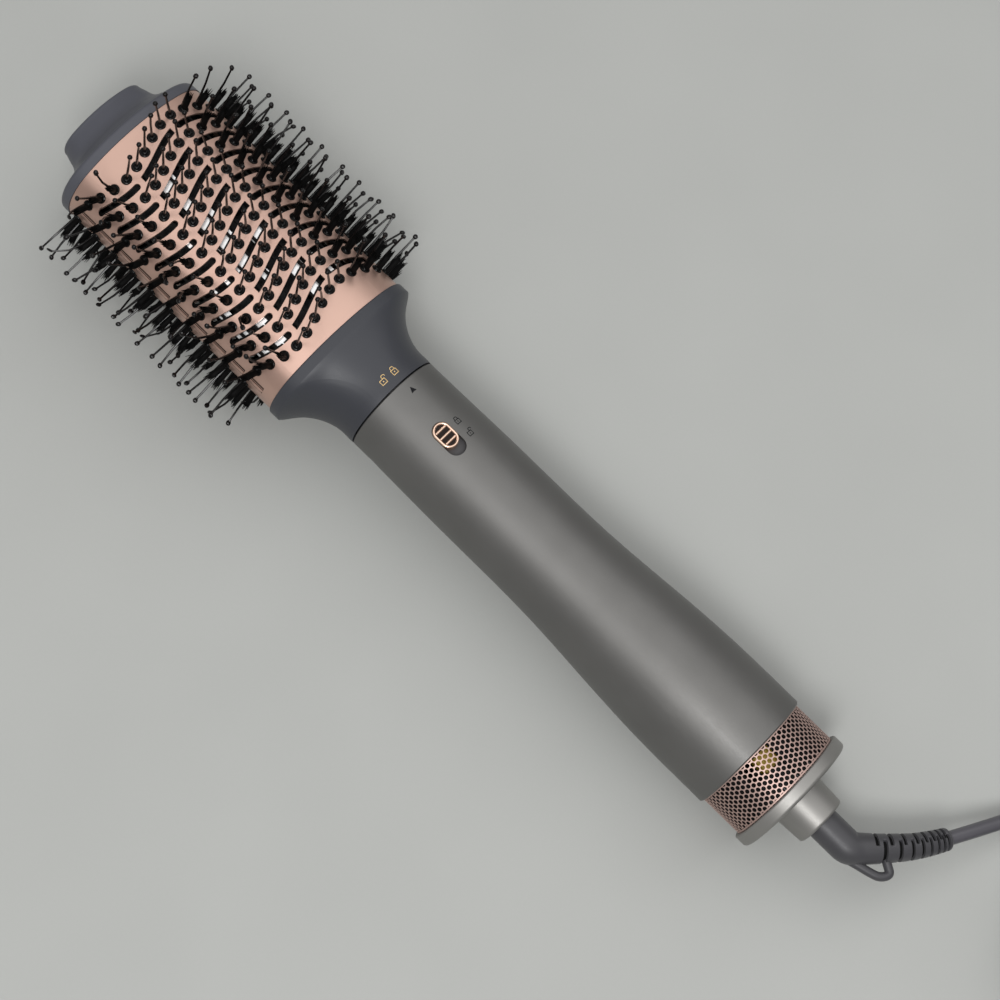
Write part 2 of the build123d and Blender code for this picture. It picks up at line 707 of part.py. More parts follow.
with BuildPart() as motor_damper:
    with BuildSketch(Plane.XY.offset(VANE_START)):
        Circle(MOTOR_RADIUS + 1.1)
        Circle(MOTOR_RADIUS + 0.1, mode=Mode.SUBTRACT)
    extrude(amount=VANE_LENGTH)
pieces["motor_damper"] = motor_damper

with BuildPart() as guide_vanes:
    inner_radius = MOTOR_RADIUS + 1.2
    outer_radius = FAN_DUCT_RADIUS - DUCT_WALL - 0.15
    with BuildSketch(Plane.XY.offset(VANE_START)):
        Circle(outer_radius)
        Circle(outer_radius - 1.0, mode=Mode.SUBTRACT)
        Circle(inner_radius + 1.0)
        Circle(inner_radius, mode=Mode.SUBTRACT)
    extrude(amount=VANE_LENGTH)
    with PolarLocations((inner_radius + outer_radius) / 2, VANE_COUNT):
        with Locations((0, 0, VANE_START + VANE_LENGTH / 2)):
            Box(outer_radius - inner_radius - 1.0, 0.9, VANE_LENGTH - 2, rotation=(14, 0, 0))
pieces["guide_vanes"] = guide_vanes

with BuildPart() as fan_impeller:
    with BuildSketch(Plane.XY.offset(FAN_START)):
        Circle(6.0)
    extrude(amount=FAN_LENGTH)
    fillet(fan_impeller.edges().filter_by(GeomType.CIRCLE).sort_by(Axis.Z)[-1], 2.5)
    with PolarLocations((5.0 + FAN_RADIUS) / 2, FAN_BLADES):
        with Locations((0, 0, FAN_START + FAN_LENGTH / 2)):
            Box(FAN_RADIUS - 5.0, 1.0, FAN_LENGTH + 1.0, rotation=(FAN_BLADE_PITCH, 0, 0))
    with BuildSketch(Plane.XY.offset(FAN_START - 1)):
        Circle(FAN_RADIUS - 0.1)
    extrude(amount=FAN_LENGTH + 2, mode=Mode.INTERSECT)
    with Locations((0, 0, FAN_START)):
        Cylinder(SHAFT_RADIUS + 0.05, 60, mode=Mode.SUBTRACT)
pieces["fan_impeller"] = fan_impeller

with BuildPart() as inlet_ring:
    with BuildSketch(Plane.XY.offset(DUCT_END + 0.1)):
        Circle(GRILLE_RADIUS - GRILLE_WALL - 0.1)
        Circle(FAN_RADIUS - 1.0, mode=Mode.SUBTRACT)
    extrude(amount=1.4)
    fillet(inlet_ring.edges().filter_by(GeomType.CIRCLE).group_by(Axis.Z)[-1].sort_by(SortBy.RADIUS)[0], 1.0)
pieces["inlet_ring"] = inlet_ring


# Release button: it slides in the sleeve's slot on a carriage whose blade reaches the head's socket.
BUTTON_STATION = BUTTON_SLOT_STATION - (BUTTON_SLOT_LENGTH - BUTTON_LENGTH) / 2 + 0.15
BUTTON_TOP = 19.7
CARRIAGE_TOP = 16.65
CARRIAGE_BOTTOM = 15.75
CARRIAGE_LENGTH = 19.0

with BuildPart() as release_button:
    with BuildSketch(Plane.XZ.offset(-CARRIAGE_TOP - 0.05)):
        with Locations((0, BUTTON_STATION)):
            SlotOverall(BUTTON_LENGTH, BUTTON_WIDTH, rotation=90)
    extrude(amount=-(BUTTON_TOP - CARRIAGE_TOP - 0.05))
    fillet(release_button.faces().sort_by(Axis.Y)[-1].edges(), 0.3)
    with BuildSketch(Plane.XZ.offset(-BUTTON_TOP - 0.1)):
        with Locations((0, BUTTON_STATION)):
            SlotOverall(BUTTON_LENGTH - 1.8, BUTTON_WIDTH - 1.8, rotation=90)
            with GridLocations(0, 2.4, 1, 3):
                Rectangle(BUTTON_WIDTH, 0.8, mode=Mode.SUBTRACT)
    extrude(amount=0.7, mode=Mode.SUBTRACT)
pieces["release_button"] = release_button

with BuildPart() as release_latch:
    with BuildSketch(Plane.XZ.offset(-CARRIAGE_BOTTOM)):
        with Locations((0, BUTTON_STATION)):
            Rectangle(9.0, CARRIAGE_LENGTH)
        with Locations((0, SOCKET_END + 0.4)):
            Rectangle(5.2, BUTTON_STATION, align=(Align.CENTER, Align.MIN))
    extrude(amount=-(CARRIAGE_TOP - CARRIAGE_BOTTOM))
    with Locations((0, CARRIAGE_TOP, SOCKET_END + 0.4)):
        Box(5.2, 0.8, 2.0, align=(Align.CENTER, Align.CENTER, Align.MIN))
pieces["release_latch"] = release_latch

with BuildPart() as detent_leaf:
    with BuildSketch(Plane.YZ.offset(-2)):
        with BuildLine():
            low = Polyline((14.7, 29), (14.7, 31.5), (15.25, 33.5), (14.7, 35.5), (14.7, 38))
            high = Polyline((14.95, 29), (14.95, 31.4), (15.5, 33.5), (14.95, 35.6), (14.95, 38))
            Line(low @ 0, high @ 0)
            Line(low @ 1, high @ 1)
        make_face()
    extrude(amount=4)
pieces["detent_leaf"] = detent_leaf


# Intake grille and the frame behind it, which carries the circuit board on three posts.
GRILLE_COLUMNS = 44
GRILLE_ROWS = 4
GRILLE_PITCH = 3.6
FRAME_START = 184.5
FRAME_BORE_RADIUS = 12.3
POST_RING = 16.5
POST_ANGLES = (30, 150, 270)
BOARD_FACE = 179.0
BOARD_REAR = 180.6
BOARD_RADIUS = 18.2

with BuildPart() as intake_grille:
    with BuildSketch(Plane.XY.offset(GRILLE_START - 2.6)):
        Circle(GRILLE_RADIUS)
        Circle(GRILLE_RADIUS - GRILLE_WALL, mode=Mode.SUBTRACT)
    extrude(amount=GRILLE_END - GRILLE_START + 2.6)
    holes = []
    for row in range(GRILLE_ROWS):
        for column in range(GRILLE_COLUMNS):
            turn = radians(360 / GRILLE_COLUMNS * (column + 0.5 * (row % 2)))
            way = (cos(turn), sin(turn), 0)
            centre = (GRILLE_RADIUS * way[0], GRILLE_RADIUS * way[1], GRILLE_START + 2.6 + row * GRILLE_PITCH)
            holes.append(Plane(origin=centre, z_dir=way))
    with Locations(*holes):
        Cylinder(GRILLE_HOLE_RADIUS, 3, mode=Mode.SUBTRACT)
pieces["intake_grille"] = intake_grille

DETENT_RING = 17.5
DETENT_BALL_RADIUS = 1.3

with BuildPart() as tail_frame:
    with BuildSketch(Plane.XY.offset(FRAME_START)):
        Circle(GRILLE_RADIUS - GRILLE_WALL - 0.1)
    extrude(amount=GRILLE_END - FRAME_START)
    with BuildSketch(Plane.XY.offset(BOARD_REAR + 0.05)):
        for angle in POST_ANGLES:
            with Locations((POST_RING * cos(radians(angle)), POST_RING * sin(radians(angle)))):
                Circle(2.2)
        with Locations((0, DETENT_RING)):
            Circle(2.4)
    extrude(amount=FRAME_START - BOARD_REAR)
    with Locations((0, 0, FRAME_START)):
        Cylinder(FRAME_BORE_RADIUS, 20, mode=Mode.SUBTRACT)
        with PolarLocations(POST_RING, 3, start_angle=POST_ANGLES[0]):
            Cylinder(1.05, 8.5, mode=Mode.SUBTRACT)
        with Locations((0, DETENT_RING, 0.3)):
            Cylinder(DETENT_BALL_RADIUS + 0.05, 5, mode=Mode.SUBTRACT)
pieces["tail_frame"] = tail_frame

with BuildPart() as detent_ball:
    with Locations((0, DETENT_RING, DIAL_FRONT - 0.1 - DETENT_BALL_RADIUS)):
        Sphere(DETENT_BALL_RADIUS)
pieces["detent_ball"] = detent_ball

with BuildPart() as detent_spring:
    with BuildSketch(Plane.XY.offset(FRAME_START - 2.1)):
        with Locations((0, DETENT_RING)):
            Circle(1.1)
            Circle(0.8, mode=Mode.SUBTRACT)
    extrude(amount=1.1)
pieces["detent_spring"] = detent_spring

with BuildPart() as board_screws:
    with Locations((0, 0, BOARD_FACE - 0.05)):
        with PolarLocations(POST_RING, 3, start_angle=POST_ANGLES[0]):
            Cylinder(1.9, 1.4, align=(Align.CENTER, Align.CENTER, Align.MAX))
            Cylinder(1.0, 5.0, align=(Align.CENTER, Align.CENTER, Align.MIN))
pieces["board_screws"] = board_screws

with BuildPart() as circuit_board:
    with BuildSketch(Plane.XY.offset(BOARD_FACE)):
        Circle(BOARD_RADIUS)
        Circle(8.1, mode=Mode.SUBTRACT)
        with PolarLocations(POST_RING, 3, start_angle=POST_ANGLES[0]):
            Circle(1.15, mode=Mode.SUBTRACT)
    extrude(amount=BOARD_REAR - BOARD_FACE)
pieces["circuit_board"] = circuit_board

with BuildPart() as filter_capacitor:
    with Locations((0.3, 15.4, BOARD_FACE - 0.1)):
        Box(12.5, 6.0, 7.8, align=(Align.CENTER, Align.CENTER, Align.MAX))
    fillet(filter_capacitor.edges().filter_by(Axis.Z), 0.8)
pieces["filter_capacitor"] = filter_capacitor

with BuildPart() as rectifier_diodes:
    for angle in (-20, -36, -144, -160):
        turn = radians(angle)
        with Locations((15 * cos(turn), 15 * sin(turn), BOARD_FACE - 0.1)):
            Cylinder(1.35, 5.2, align=(Align.CENTER, Align.CENTER, Align.MAX))
pieces["rectifier_diodes"] = rectifier_diodes


# Dial at the tail: a disc with a hub that carries the switch wiper, held in the frame by a clip.
HUB_RADIUS = 12.1
HUB_START = 182.2
WIPER_START = 180.9
CLIP_START = 183.5
CLIP_THICK = 0.8
CLIP_GROOVE_RADIUS = 11.6
DIAL_BORE_RADIUS = TAIL_BOSS_RADIUS + 0.05
DIAL_STEPS = 3

with BuildPart() as selector_dial:
    with BuildSketch(Plane.XY.offset(DIAL_FRONT)):
        Circle(DIAL_RADIUS)
    extrude(amount=DIAL_BACK - DIAL_FRONT)
    rims = selector_dial.edges().filter_by(GeomType.CIRCLE).sort_by(Axis.Z)
    fillet(rims[-1], DIAL_EDGE)
    fillet(selector_dial.edges().filter_by(GeomType.CIRCLE).sort_by(Axis.Z)[0], 0.6)
    with BuildSketch(Plane.XY.offset(HUB_START)):
        Circle(HUB_RADIUS)
    extrude(amount=DIAL_FRONT - HUB_START)
    with BuildSketch(Plane.XY.offset(CLIP_START - 0.05)):
        Circle(HUB_RADIUS + 0.5)
        Circle(CLIP_GROOVE_RADIUS, mode=Mode.SUBTRACT)
    extrude(amount=CLIP_THICK + 0.1, mode=Mode.SUBTRACT)
    with Locations((0, 0, DIAL_FRONT)):
        Cylinder(DIAL_BORE_RADIUS, 20, mode=Mode.SUBTRACT)
        with PolarLocations(DETENT_RING, DIAL_STEPS + 1, start_angle=0, angular_range=DIAL_TURN):
            Sphere(1.0, mode=Mode.SUBTRACT)
pieces["selector_dial"] = selector_dial

with BuildPart() as dial_clip:
    with BuildSketch(Plane.XY.offset(CLIP_START)):
        Circle(13.8)
        Circle(CLIP_GROOVE_RADIUS + 0.05, mode=Mode.SUBTRACT)
        with Locations((0, -13)):
            Rectangle(9, 8, mode=Mode.SUBTRACT)
    extrude(amount=CLIP_THICK)
pieces["dial_clip"] = dial_clip

with BuildPart() as switch_wiper:
    with BuildSketch(Plane.XY.offset(HUB_START - 0.5)):
        Circle(13.2)
        Circle(TAIL_BOSS_RADIUS + 0.3, mode=Mode.SUBTRACT)
    extrude(amount=0.45)
    with BuildSketch(Plane.XY.offset(WIPER_START)):
        with PolarLocations(11.8, 3):
            Circle(0.7)
    extrude(amount=HUB_START - WIPER_START - 0.3)
pieces["switch_wiper"] = switch_wiper


# Tail boss: fixed to the board by a nut, it runs through the dial and holds the strain relief.
BOSS_STEM_RADIUS = 8.0
BOSS_STEM_START = 175.5
BOSS_BORE_RADIUS = 4.0
RELIEF_SEAT_RADIUS = RELIEF_RADIUS + 0.1

with BuildPart() as tail_boss:
    with BuildSketch(Plane.XZ):
        with BuildLine():
            Polyline(
                (BOSS_BORE_RADIUS, BOSS_STEM_START),
                (BOSS_STEM_RADIUS, BOSS_STEM_START),
                (BOSS_STEM_RADIUS, BOARD_REAR + 0.05),
                (TAIL_BOSS_RADIUS, BOARD_REAR + 0.05),
                (TAIL_BOSS_RADIUS, DIAL_BACK + 0.1),
                (TAIL_BOSS_TIP_RADIUS, TAIL_BOSS_END),
                (RELIEF_SEAT_RADIUS, TAIL_BOSS_END),
                (RELIEF_SEAT_RADIUS, RELIEF_START - 0.1),
                (BOSS_BORE_RADIUS, RELIEF_START - 0.1),
                close=True,
            )
        make_face()
    revolve(axis=Axis.Z)
    fillet(tail_boss.edges().filter_by(GeomType.CIRCLE).group_by(Axis.Z)[-1].sort_by(SortBy.RADIUS)[-1], 1.0)
pieces["tail_boss"] = tail_boss

with BuildPart() as boss_nut:
    with BuildSketch(Plane.XY.offset(BOARD_FACE - 2.6)):
        RegularPolygon(11.4, 6)
        Circle(BOSS_STEM_RADIUS + 0.05, mode=Mode.SUBTRACT)
    extrude(amount=2.5)
pieces["boss_nut"] = boss_nut


# Strain relief: a stub, an elbow, a tapered boot cut into ribs, and a hanging loop on its outer side.
RELIEF_CORE_RADIUS = 3.1
RIB_COUNT = 8
LOOP_ROUTE = ((-1.0, -3.6), (6.4, -8.7), (10.8, -10.2), (12.9, -7.6), (12.4, -3.6))
LOOP_RADII = (9.0, 1.9, 2.2)
LOOP_THICK = 2.8


def relief_way(yaw, fall):
    yaw, fall = radians(yaw), radians(fall)
    return Vector(sin(yaw) * cos(fall), -sin(fall), cos(yaw) * cos(fall))


def rib_end(number):
    """Distance of a rib's slot from the elbow: the ribs close up towards the cord."""
    return 11.0 + 4.9 * number - 0.22 * number**2


relief_points = [Vector(0, 0, RELIEF_START), Vector(0, 0, RELIEF_ELBOW)]
for run, yaw, fall in RELIEF_RUNS:
    relief_points.append(relief_points[-1] + relief_way(yaw, fall) * run)
elbow_way = relief_way(*RELIEF_RUNS[0][1:])
boot_length = sum(run for run, _, _ in RELIEF_RUNS)

with BuildPart() as strain_relief:
    with BuildLine() as stub_path:
        elbow_end = relief_points[1] + elbow_way * 6.5
        FilletPolyline(relief_points[0], relief_points[1], elbow_end, radius=6.3)
    with BuildSketch(Plane(origin=stub_path.line @ 0, z_dir=stub_path.line % 0)):
        Circle(RELIEF_RADIUS)
    sweep(path=stub_path.wires()[0])
    with BuildLine() as boot_path:
        boot_start = relief_points[1] + elbow_way * 4.0
        FilletPolyline(boot_start, *relief_points[2:], radius=(60, 16))
    boot = boot_path.wires()[0]
    with BuildSketch(Plane(origin=boot @ 0, z_dir=boot % 0)):
        Circle(RELIEF_CORE_RADIUS)
    sweep(path=boot)
    with Locations(Plane(origin=elbow_end - elbow_way * 0.5, z_dir=elbow_way)):
        Cone(5.2, 4.8, rib_end(0) - 6.7, align=(Align.CENTER, Align.CENTER, Align.MIN))
    for rib in range(RIB_COUNT - 1):
        first, last = rib_end(rib) + 0.5, rib_end(rib + 1) - 0.5
        share = ((first + last) / 2 - 4.0) / (boot_length - 4.0)
        with Locations(Plane(origin=boot @ share, z_dir=boot % share)):
            Cylinder(4.8 - 1.3 * share, last - first)
    loop_plane = Plane(origin=relief_points[1], x_dir=elbow_way, z_dir=(0, 1, 0))
    with BuildLine(loop_plane) as loop_path:
        FilletPolyline(*LOOP_ROUTE, radius=LOOP_RADII)
    loop = loop_path.wires()[0]
    with BuildSketch(Plane(origin=loop @ 0, z_dir=loop % 0)):
        Circle(LOOP_THICK / 2)
    sweep(path=loop)
pieces["strain_relief"] = strain_relief


# The brush lies on the last pins of its lower face and on the edge of its dial.
tip_depth = rim(0.5)[1] + PIN_HEIGHT
tip_station = station(0.5, COLUMN_COUNT - 1) + PIN_SIDE / 2
edge_depth = DIAL_RADIUS - DIAL_EDGE
edge_station = DIAL_BACK - DIAL_EDGE
reach = edge_station - tip_station
drop = tip_depth - edge_depth
TILT = atan2(drop, reach) - asin(DIAL_EDGE / hypot(drop, reach))
lying = Plane(origin=(0, 0, 0), x_dir=(0, 1, 0), z_dir=(cos(TILT), 0, -sin(TILT)))
laid = {name: piece.part.moved(lying.location) for name, piece in pieces.items()}
boxes = [shape.bounding_box() for shape in laid.values()]
low = [min(getattr(box.min, axis) for box in boxes) for axis in "XYZ"]
high = [max(getattr(box.max, axis) for box in boxes) for axis in "XYZ"]
shift = Vector(-(low[0] + high[0]) / 2, -(low[1] + high[1]) / 2, -low[2])


def on_table(point):
    """A point of the brush's own frame, in the frame of the table that it lies on."""
    return lying.from_local_coords(Vector(point)) + shift


def corner_radii(points):
    """Each corner's arc takes 0.45 of its shorter run."""
    radii = []
    for before, corner, after in zip(points, points[1:], points[2:]):
        first = corner - before
        second = after - corner
        half_turn = radians(first.get_angle(second) / 2)
        radii.append(0.45 * min(first.length, second.length) / tan(half_turn))
    return radii


def cord_tube(points):
    radii = corner_radii(points)
    print("cord arcs, radius in mm:", [round(radius, 1) for radius in radii])
    with BuildLine() as route:
        FilletPolyline(*points, radius=radii)
    path = route.wires()[0]
    round_wire(path, CORD_DIAMETER / 2)
    return path


# Cord: from the strain relief down to the table, and level into the coil.
FACE_GAP = 0.05
COIL_FLOOR = CORD_DIAMETER / 2 + 1.0
COIL_HEADING = 0
relief_way_out = (on_table(relief_points[-1]) - on_table(relief_points[-2])).normalized()
cord_start = on_table(relief_points[-1]) + relief_way_out * FACE_GAP
CORD_ROUTE = [
    cord_start,
    cord_start + relief_way_out * 16,
    Vector(205.1, 57.0, 7.2),
    Vector(213.5, 70.5, 4.2),
    Vector(226.0, 79.5, COIL_FLOOR),
    Vector(244.0, 81.0, COIL_FLOOR),
    Vector(262.0, 81.0, COIL_FLOOR),
]

with BuildPart() as cord:
    cord_path = cord_tube(CORD_ROUTE)
cord_pieces["cord"] = cord


# Coil: it spirals in and out again, and climbs a layer in each half turn where it reverses.
coil_way = Vector(cos(radians(COIL_HEADING)), sin(radians(COIL_HEADING)), 0)
coil_start = CORD_ROUTE[-1] + coil_way * FACE_GAP
coil_centre = coil_start + Vector(coil_way.Y, -coil_way.X, 0) * COIL_RADIUS
COIL_END = COIL_LAYERS * LAYER_TURNS
REVERSALS = [layer * LAYER_TURNS for layer in range(1, COIL_LAYERS)]


def coil_angle(turn):
    return radians(COIL_HEADING + 90) - 2 * pi * turn


def coil_radius(turn):
    layer = int(turn / LAYER_TURNS)
    within = turn - layer * LAYER_TURNS
    return COIL_RADIUS - COIL_PITCH * (within if layer % 2 == 0 else LAYER_TURNS - within)


def coil_point(turn):
    climbed = sum(min(max((turn - reversal) * 2 + 0.5, 0), 1) for reversal in REVERSALS)
    radius = coil_radius(turn)
    across = Vector(radius * cos(coil_angle(turn)), radius * sin(coil_angle(turn)), 0)
    return coil_centre + across + Vector(0, 0, COIL_PITCH * climbed)


def coil_direction(turn):
    """Way of the winding: level, but steepest at a reversal, halfway up its climb."""
    angle = coil_angle(turn)
    along = Vector(sin(angle), -cos(angle), 0) * pi * coil_radius(turn)
    if turn in REVERSALS:
        return (along + Vector(0, 0, 2 * COIL_PITCH)).normalized()
    drift = (coil_radius(turn + 0.01) - coil_radius(turn - 0.01)) / 0.04 if turn > 0 else 0
    return (along + Vector(cos(angle), sin(angle), 0) * drift).normalized()


def least_gap(path, spacing, apart):
    """Least clear distance between two places of a wound cord that are some way apart along it."""
    count = int(path.length / spacing)
    spots = [path @ (step / count) for step in range(count + 1)]
    skip = int(apart / spacing)
    return min(
        (spots[first] - spots[second]).length - CORD_DIAMETER
        for first in range(len(spots))
        for second in range(first + skip, len(spots))
    )


coil_stops = [quarter / 4 for quarter in range(int(COIL_END * 4) + 1)]
coil_ways = [coil_direction(turn) for turn in coil_stops]

with BuildPart() as cord_coil:
    coil_path = wound_line([coil_point(turn) for turn in coil_stops], coil_ways)
    round_wire(coil_path, CORD_DIAMETER / 2)
cord_pieces["cord_coil"] = cord_coil
print("coil's least gap to itself", round(least_gap(coil_path, 1.0, 60), 2))


# Lead: off the coil's top layer, down beside it and up again into the plug's boot.
LEAD_ROUTE = (
    (0, 0, 0),
    (16, -0.5, -0.5),
    (32, -5, -3.5),
    (45.5, -15, -8.5),
    (53.5, -29, -12.3),
    (55, -45, -13.15),
)
lead_way = coil_ways[-1]
lead_side = Vector(-lead_way.Y, lead_way.X, 0)
lead_start = coil_point(COIL_END) + lead_way * FACE_GAP
lead_points = [
    lead_start + lead_way * along + lead_side * across + Vector(0, 0, rise)
    for along, across, rise in LEAD_ROUTE
]

with BuildPart() as cord_lead:
    lead_path = cord_tube(lead_points)
cord_pieces["cord_lead"] = cord_lead
cord_length = cord_path.length + coil_path.length + lead_path.length
print("lengths of cord, coil and lead", cord_path.length, coil_path.length, lead_path.length)
print("cord's whole length", round(cord_length, 1))


# Tie: a band round the coil's section that keeps the turns together.
TIE_TURN = 0.75
TIE_WIDTH = 12.0
TIE_THICK = 0.8
TIE_ROOM = 1.2
TIE_CORNER = 2.4
COIL_TOP = COIL_FLOOR + COIL_PITCH * (COIL_LAYERS - 1) + CORD_DIAMETER / 2
tie_out = Vector(cos(coil_angle(TIE_TURN)), sin(coil_angle(TIE_TURN)), 0)
tie_low = COIL_RADIUS - COIL_PITCH * LAYER_TURNS - CORD_DIAMETER / 2 - TIE_ROOM
tie_high = COIL_RADIUS + CORD_DIAMETER / 2 + TIE_ROOM
tie_width = tie_high - tie_low
tie_height = COIL_TOP + TIE_ROOM / 2 - TIE_THICK
tie_origin = Vector(coil_centre.X, coil_centre.Y, 0) + tie_out * ((tie_low + tie_high) / 2)
tie_plane = Plane(origin=tie_origin, x_dir=tie_out, z_dir=(tie_out.Y, -tie_out.X, 0))

with BuildPart() as cord_tie:
    with BuildSketch(tie_plane):
        with Locations((0, tie_height / 2 + TIE_THICK)):
            RectangleRounded(tie_width + 2 * TIE_THICK, tie_height + 2 * TIE_THICK, TIE_CORNER + TIE_THICK)
            RectangleRounded(tie_width, tie_height, TIE_CORNER, mode=Mode.SUBTRACT)
    extrude(amount=TIE_WIDTH / 2, both=True)
cord_pieces["cord_tie"] = cord_tie


# Plug: a flat two-pin body with a short boot, lying on its broad side.
PLUG_BOOT_LENGTH = 15.0
PLUG_REAR_HALF = 6.0
PLUG_SHOULDER = PLUG_BOOT_LENGTH + 20.0
PLUG_FACE = PLUG_BOOT_LENGTH + PLUG_LENGTH
PLUG_AXIS_HEIGHT = PLUG_THICK / 2
plug_entry = lead_points[-1]
last_run = lead_points[-1] - lead_points[-2]
plug_flat_way = Vector(last_run.X, last_run.Y, 0).normalized()
plug_base = Plane(origin=(plug_entry.X, plug_entry.Y, 0), x_dir=plug_flat_way, z_dir=(0, 0, 1))
boot_way = plug_flat_way * PLUG_BOOT_LENGTH + Vector(0, 0, PLUG_AXIS_HEIGHT - plug_entry.Z)
boot_face = plug_entry + last_run.normalized() * FACE_GAP

with BuildPart() as plug_body:
    with BuildSketch(plug_base):
        Polygon(
            (PLUG_BOOT_LENGTH, -PLUG_REAR_HALF),
            (PLUG_SHOULDER, -PLUG_WIDTH / 2),
            (PLUG_FACE, -PLUG_WIDTH / 2),
            (PLUG_FACE, PLUG_WIDTH / 2),
            (PLUG_SHOULDER, PLUG_WIDTH / 2),
            (PLUG_BOOT_LENGTH, PLUG_REAR_HALF),
            align=None,
        )
    extrude(amount=PLUG_THICK)
    fillet(plug_body.edges().filter_by(Axis.Z), 2.5)
    fillet(plug_body.faces().filter_by(Axis.Z).edges(), 2.0)
    with Locations(Plane(origin=boot_face, z_dir=boot_way)):
        Cone(3.6, 5.2, PLUG_BOOT_LENGTH + 2, align=(Align.CENTER, Align.CENTER, Align.MIN))
cord_pieces["plug_body"] = plug_body

pin_root = plug_base.from_local_coords(Vector(PLUG_FACE + FACE_GAP, 0, PLUG_AXIS_HEIGHT))

with BuildPart() as plug_pins:
    with BuildSketch(Plane(origin=pin_root, x_dir=(0, 0, 1), z_dir=plug_flat_way)):
        with GridLocations(0, PLUG_PIN_SPACING, 1, 2):
            Circle(PLUG_PIN_RADIUS)
    extrude(amount=PLUG_PIN_LENGTH)
    tips = plug_pins.faces().sort_by(Axis(pin_root, plug_flat_way))[-2:]
    chamfer(tips.edges(), 0.6)
cord_pieces["plug_pins"] = plug_pins


# Every piece goes out in the frame of the table: X along the brush towards its tail, Z up.
finished = {name: shape.moved(Location(shift)) for name, shape in laid.items()}
finished.update({name: piece.part for name, piece in cord_pieces.items()})
for name, shape in finished.items():
    shape.label = name
    export_step(shape, f"parts/{name}.step")

print("tilt in degrees", degrees(TILT))
print("origin of the brush's own frame on the table", shift)
print("cord", CORD_ROUTE)
print("coil centre", coil_centre)
print("lead", lead_points)
print("plug pins", pin_root, plug_flat_way)
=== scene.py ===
import bmesh
import bpy
import json
from math import atan2, cos, degrees, hypot, pi, radians, sin, sqrt
from random import Random
from mathutils import Matrix, Vector
from mathutils.bvhtree import BVHTree


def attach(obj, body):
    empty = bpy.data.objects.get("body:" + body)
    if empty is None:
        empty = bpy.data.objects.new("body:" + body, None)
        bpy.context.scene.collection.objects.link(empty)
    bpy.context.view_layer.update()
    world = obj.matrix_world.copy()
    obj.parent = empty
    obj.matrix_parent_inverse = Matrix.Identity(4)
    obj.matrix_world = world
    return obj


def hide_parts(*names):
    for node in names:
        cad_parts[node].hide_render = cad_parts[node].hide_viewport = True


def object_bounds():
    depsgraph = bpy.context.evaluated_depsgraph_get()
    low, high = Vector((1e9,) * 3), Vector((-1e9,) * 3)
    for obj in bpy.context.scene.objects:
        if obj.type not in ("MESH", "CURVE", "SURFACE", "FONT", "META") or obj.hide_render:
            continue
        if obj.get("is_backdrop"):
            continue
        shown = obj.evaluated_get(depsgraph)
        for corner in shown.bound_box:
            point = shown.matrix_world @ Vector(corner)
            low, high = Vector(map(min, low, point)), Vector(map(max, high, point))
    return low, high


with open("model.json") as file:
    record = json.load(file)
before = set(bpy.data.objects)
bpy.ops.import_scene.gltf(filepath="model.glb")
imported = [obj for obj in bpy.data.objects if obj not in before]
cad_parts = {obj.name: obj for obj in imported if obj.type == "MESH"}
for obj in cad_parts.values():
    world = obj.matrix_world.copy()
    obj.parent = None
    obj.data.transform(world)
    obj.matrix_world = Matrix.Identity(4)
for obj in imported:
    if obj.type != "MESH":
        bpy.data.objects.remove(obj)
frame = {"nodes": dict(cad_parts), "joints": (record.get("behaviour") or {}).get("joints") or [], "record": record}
cad_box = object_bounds()
cad_nodes = frame["nodes"]
joints = {joint["name"]: joint for joint in frame["joints"]}

# The brush's own frame, in millimetres: x to the side that the cord leaves by, y out of the upper flat
# face of the head, s along the axis from the seam towards the tail.
MM = 0.001
SEAM = Vector(joints["head_twist"]["pos_m"])
ALONG = Vector(joints["dial_turn"]["axis"])
SIDE = Vector((0, 1, 0))
UPWARD = ALONG.cross(SIDE)


def way(x, y, s=0.0):
    return SIDE * x + UPWARD * y + ALONG * s


def placed(x, y, s):
    return SEAM + way(x, y, s) * MM


# Camera
CAMERA_PLACE = Vector((112.80, -185.57, 743.72)) * MM
CAMERA_VIEW = Vector((-0.14949, 0.25228, -0.95604)).normalized()
CAMERA_RIGHT = Vector((0.71885, 0.69163, 0.07011))
CAMERA_LENS = 78.25


def make_camera():
    data = bpy.data.cameras.new("camera")
    data.lens = CAMERA_LENS
    data.sensor_width = 36.0
    data.clip_start = 0.01
    data.clip_end = 20.0
    camera = bpy.data.objects.new("camera", data)
    bpy.context.scene.collection.objects.link(camera)
    right = (CAMERA_RIGHT - CAMERA_VIEW * CAMERA_RIGHT.dot(CAMERA_VIEW)).normalized()
    up = right.cross(CAMERA_VIEW)
    turn = Matrix((right, up, -CAMERA_VIEW)).transposed().to_4x4()
    camera.matrix_world = Matrix.Translation(CAMERA_PLACE) @ turn
    bpy.context.scene.camera = camera


# Materials: each is one Principled shader whose colour, roughness and bump vary with noise.
NOISE_BAND = (0.3, 0.7)
PATCH_SHARE = 0.6
ROUGHNESS_SPREAD = 0.1
COAT_ROUGHNESS = 0.12
BUMP_DEPTH = 0.00002


def linked_noise(tree, place, scale, detail=2.0):
    noise = tree.nodes.new("ShaderNodeTexNoise")
    noise.inputs["Scale"].default_value = scale
    noise.inputs["Detail"].default_value = detail
    tree.links.new(place, noise.inputs["Vector"])
    return noise.outputs["Fac"]


def ranged(tree, value, low, high):
    spread = tree.nodes.new("ShaderNodeMapRange")
    spread.inputs["From Min"].default_value = NOISE_BAND[0]
    spread.inputs["From Max"].default_value = NOISE_BAND[1]
    spread.inputs["To Min"].default_value = low
    spread.inputs["To Max"].default_value = high
    tree.links.new(value, spread.inputs["Value"])
    return spread.outputs["Result"]


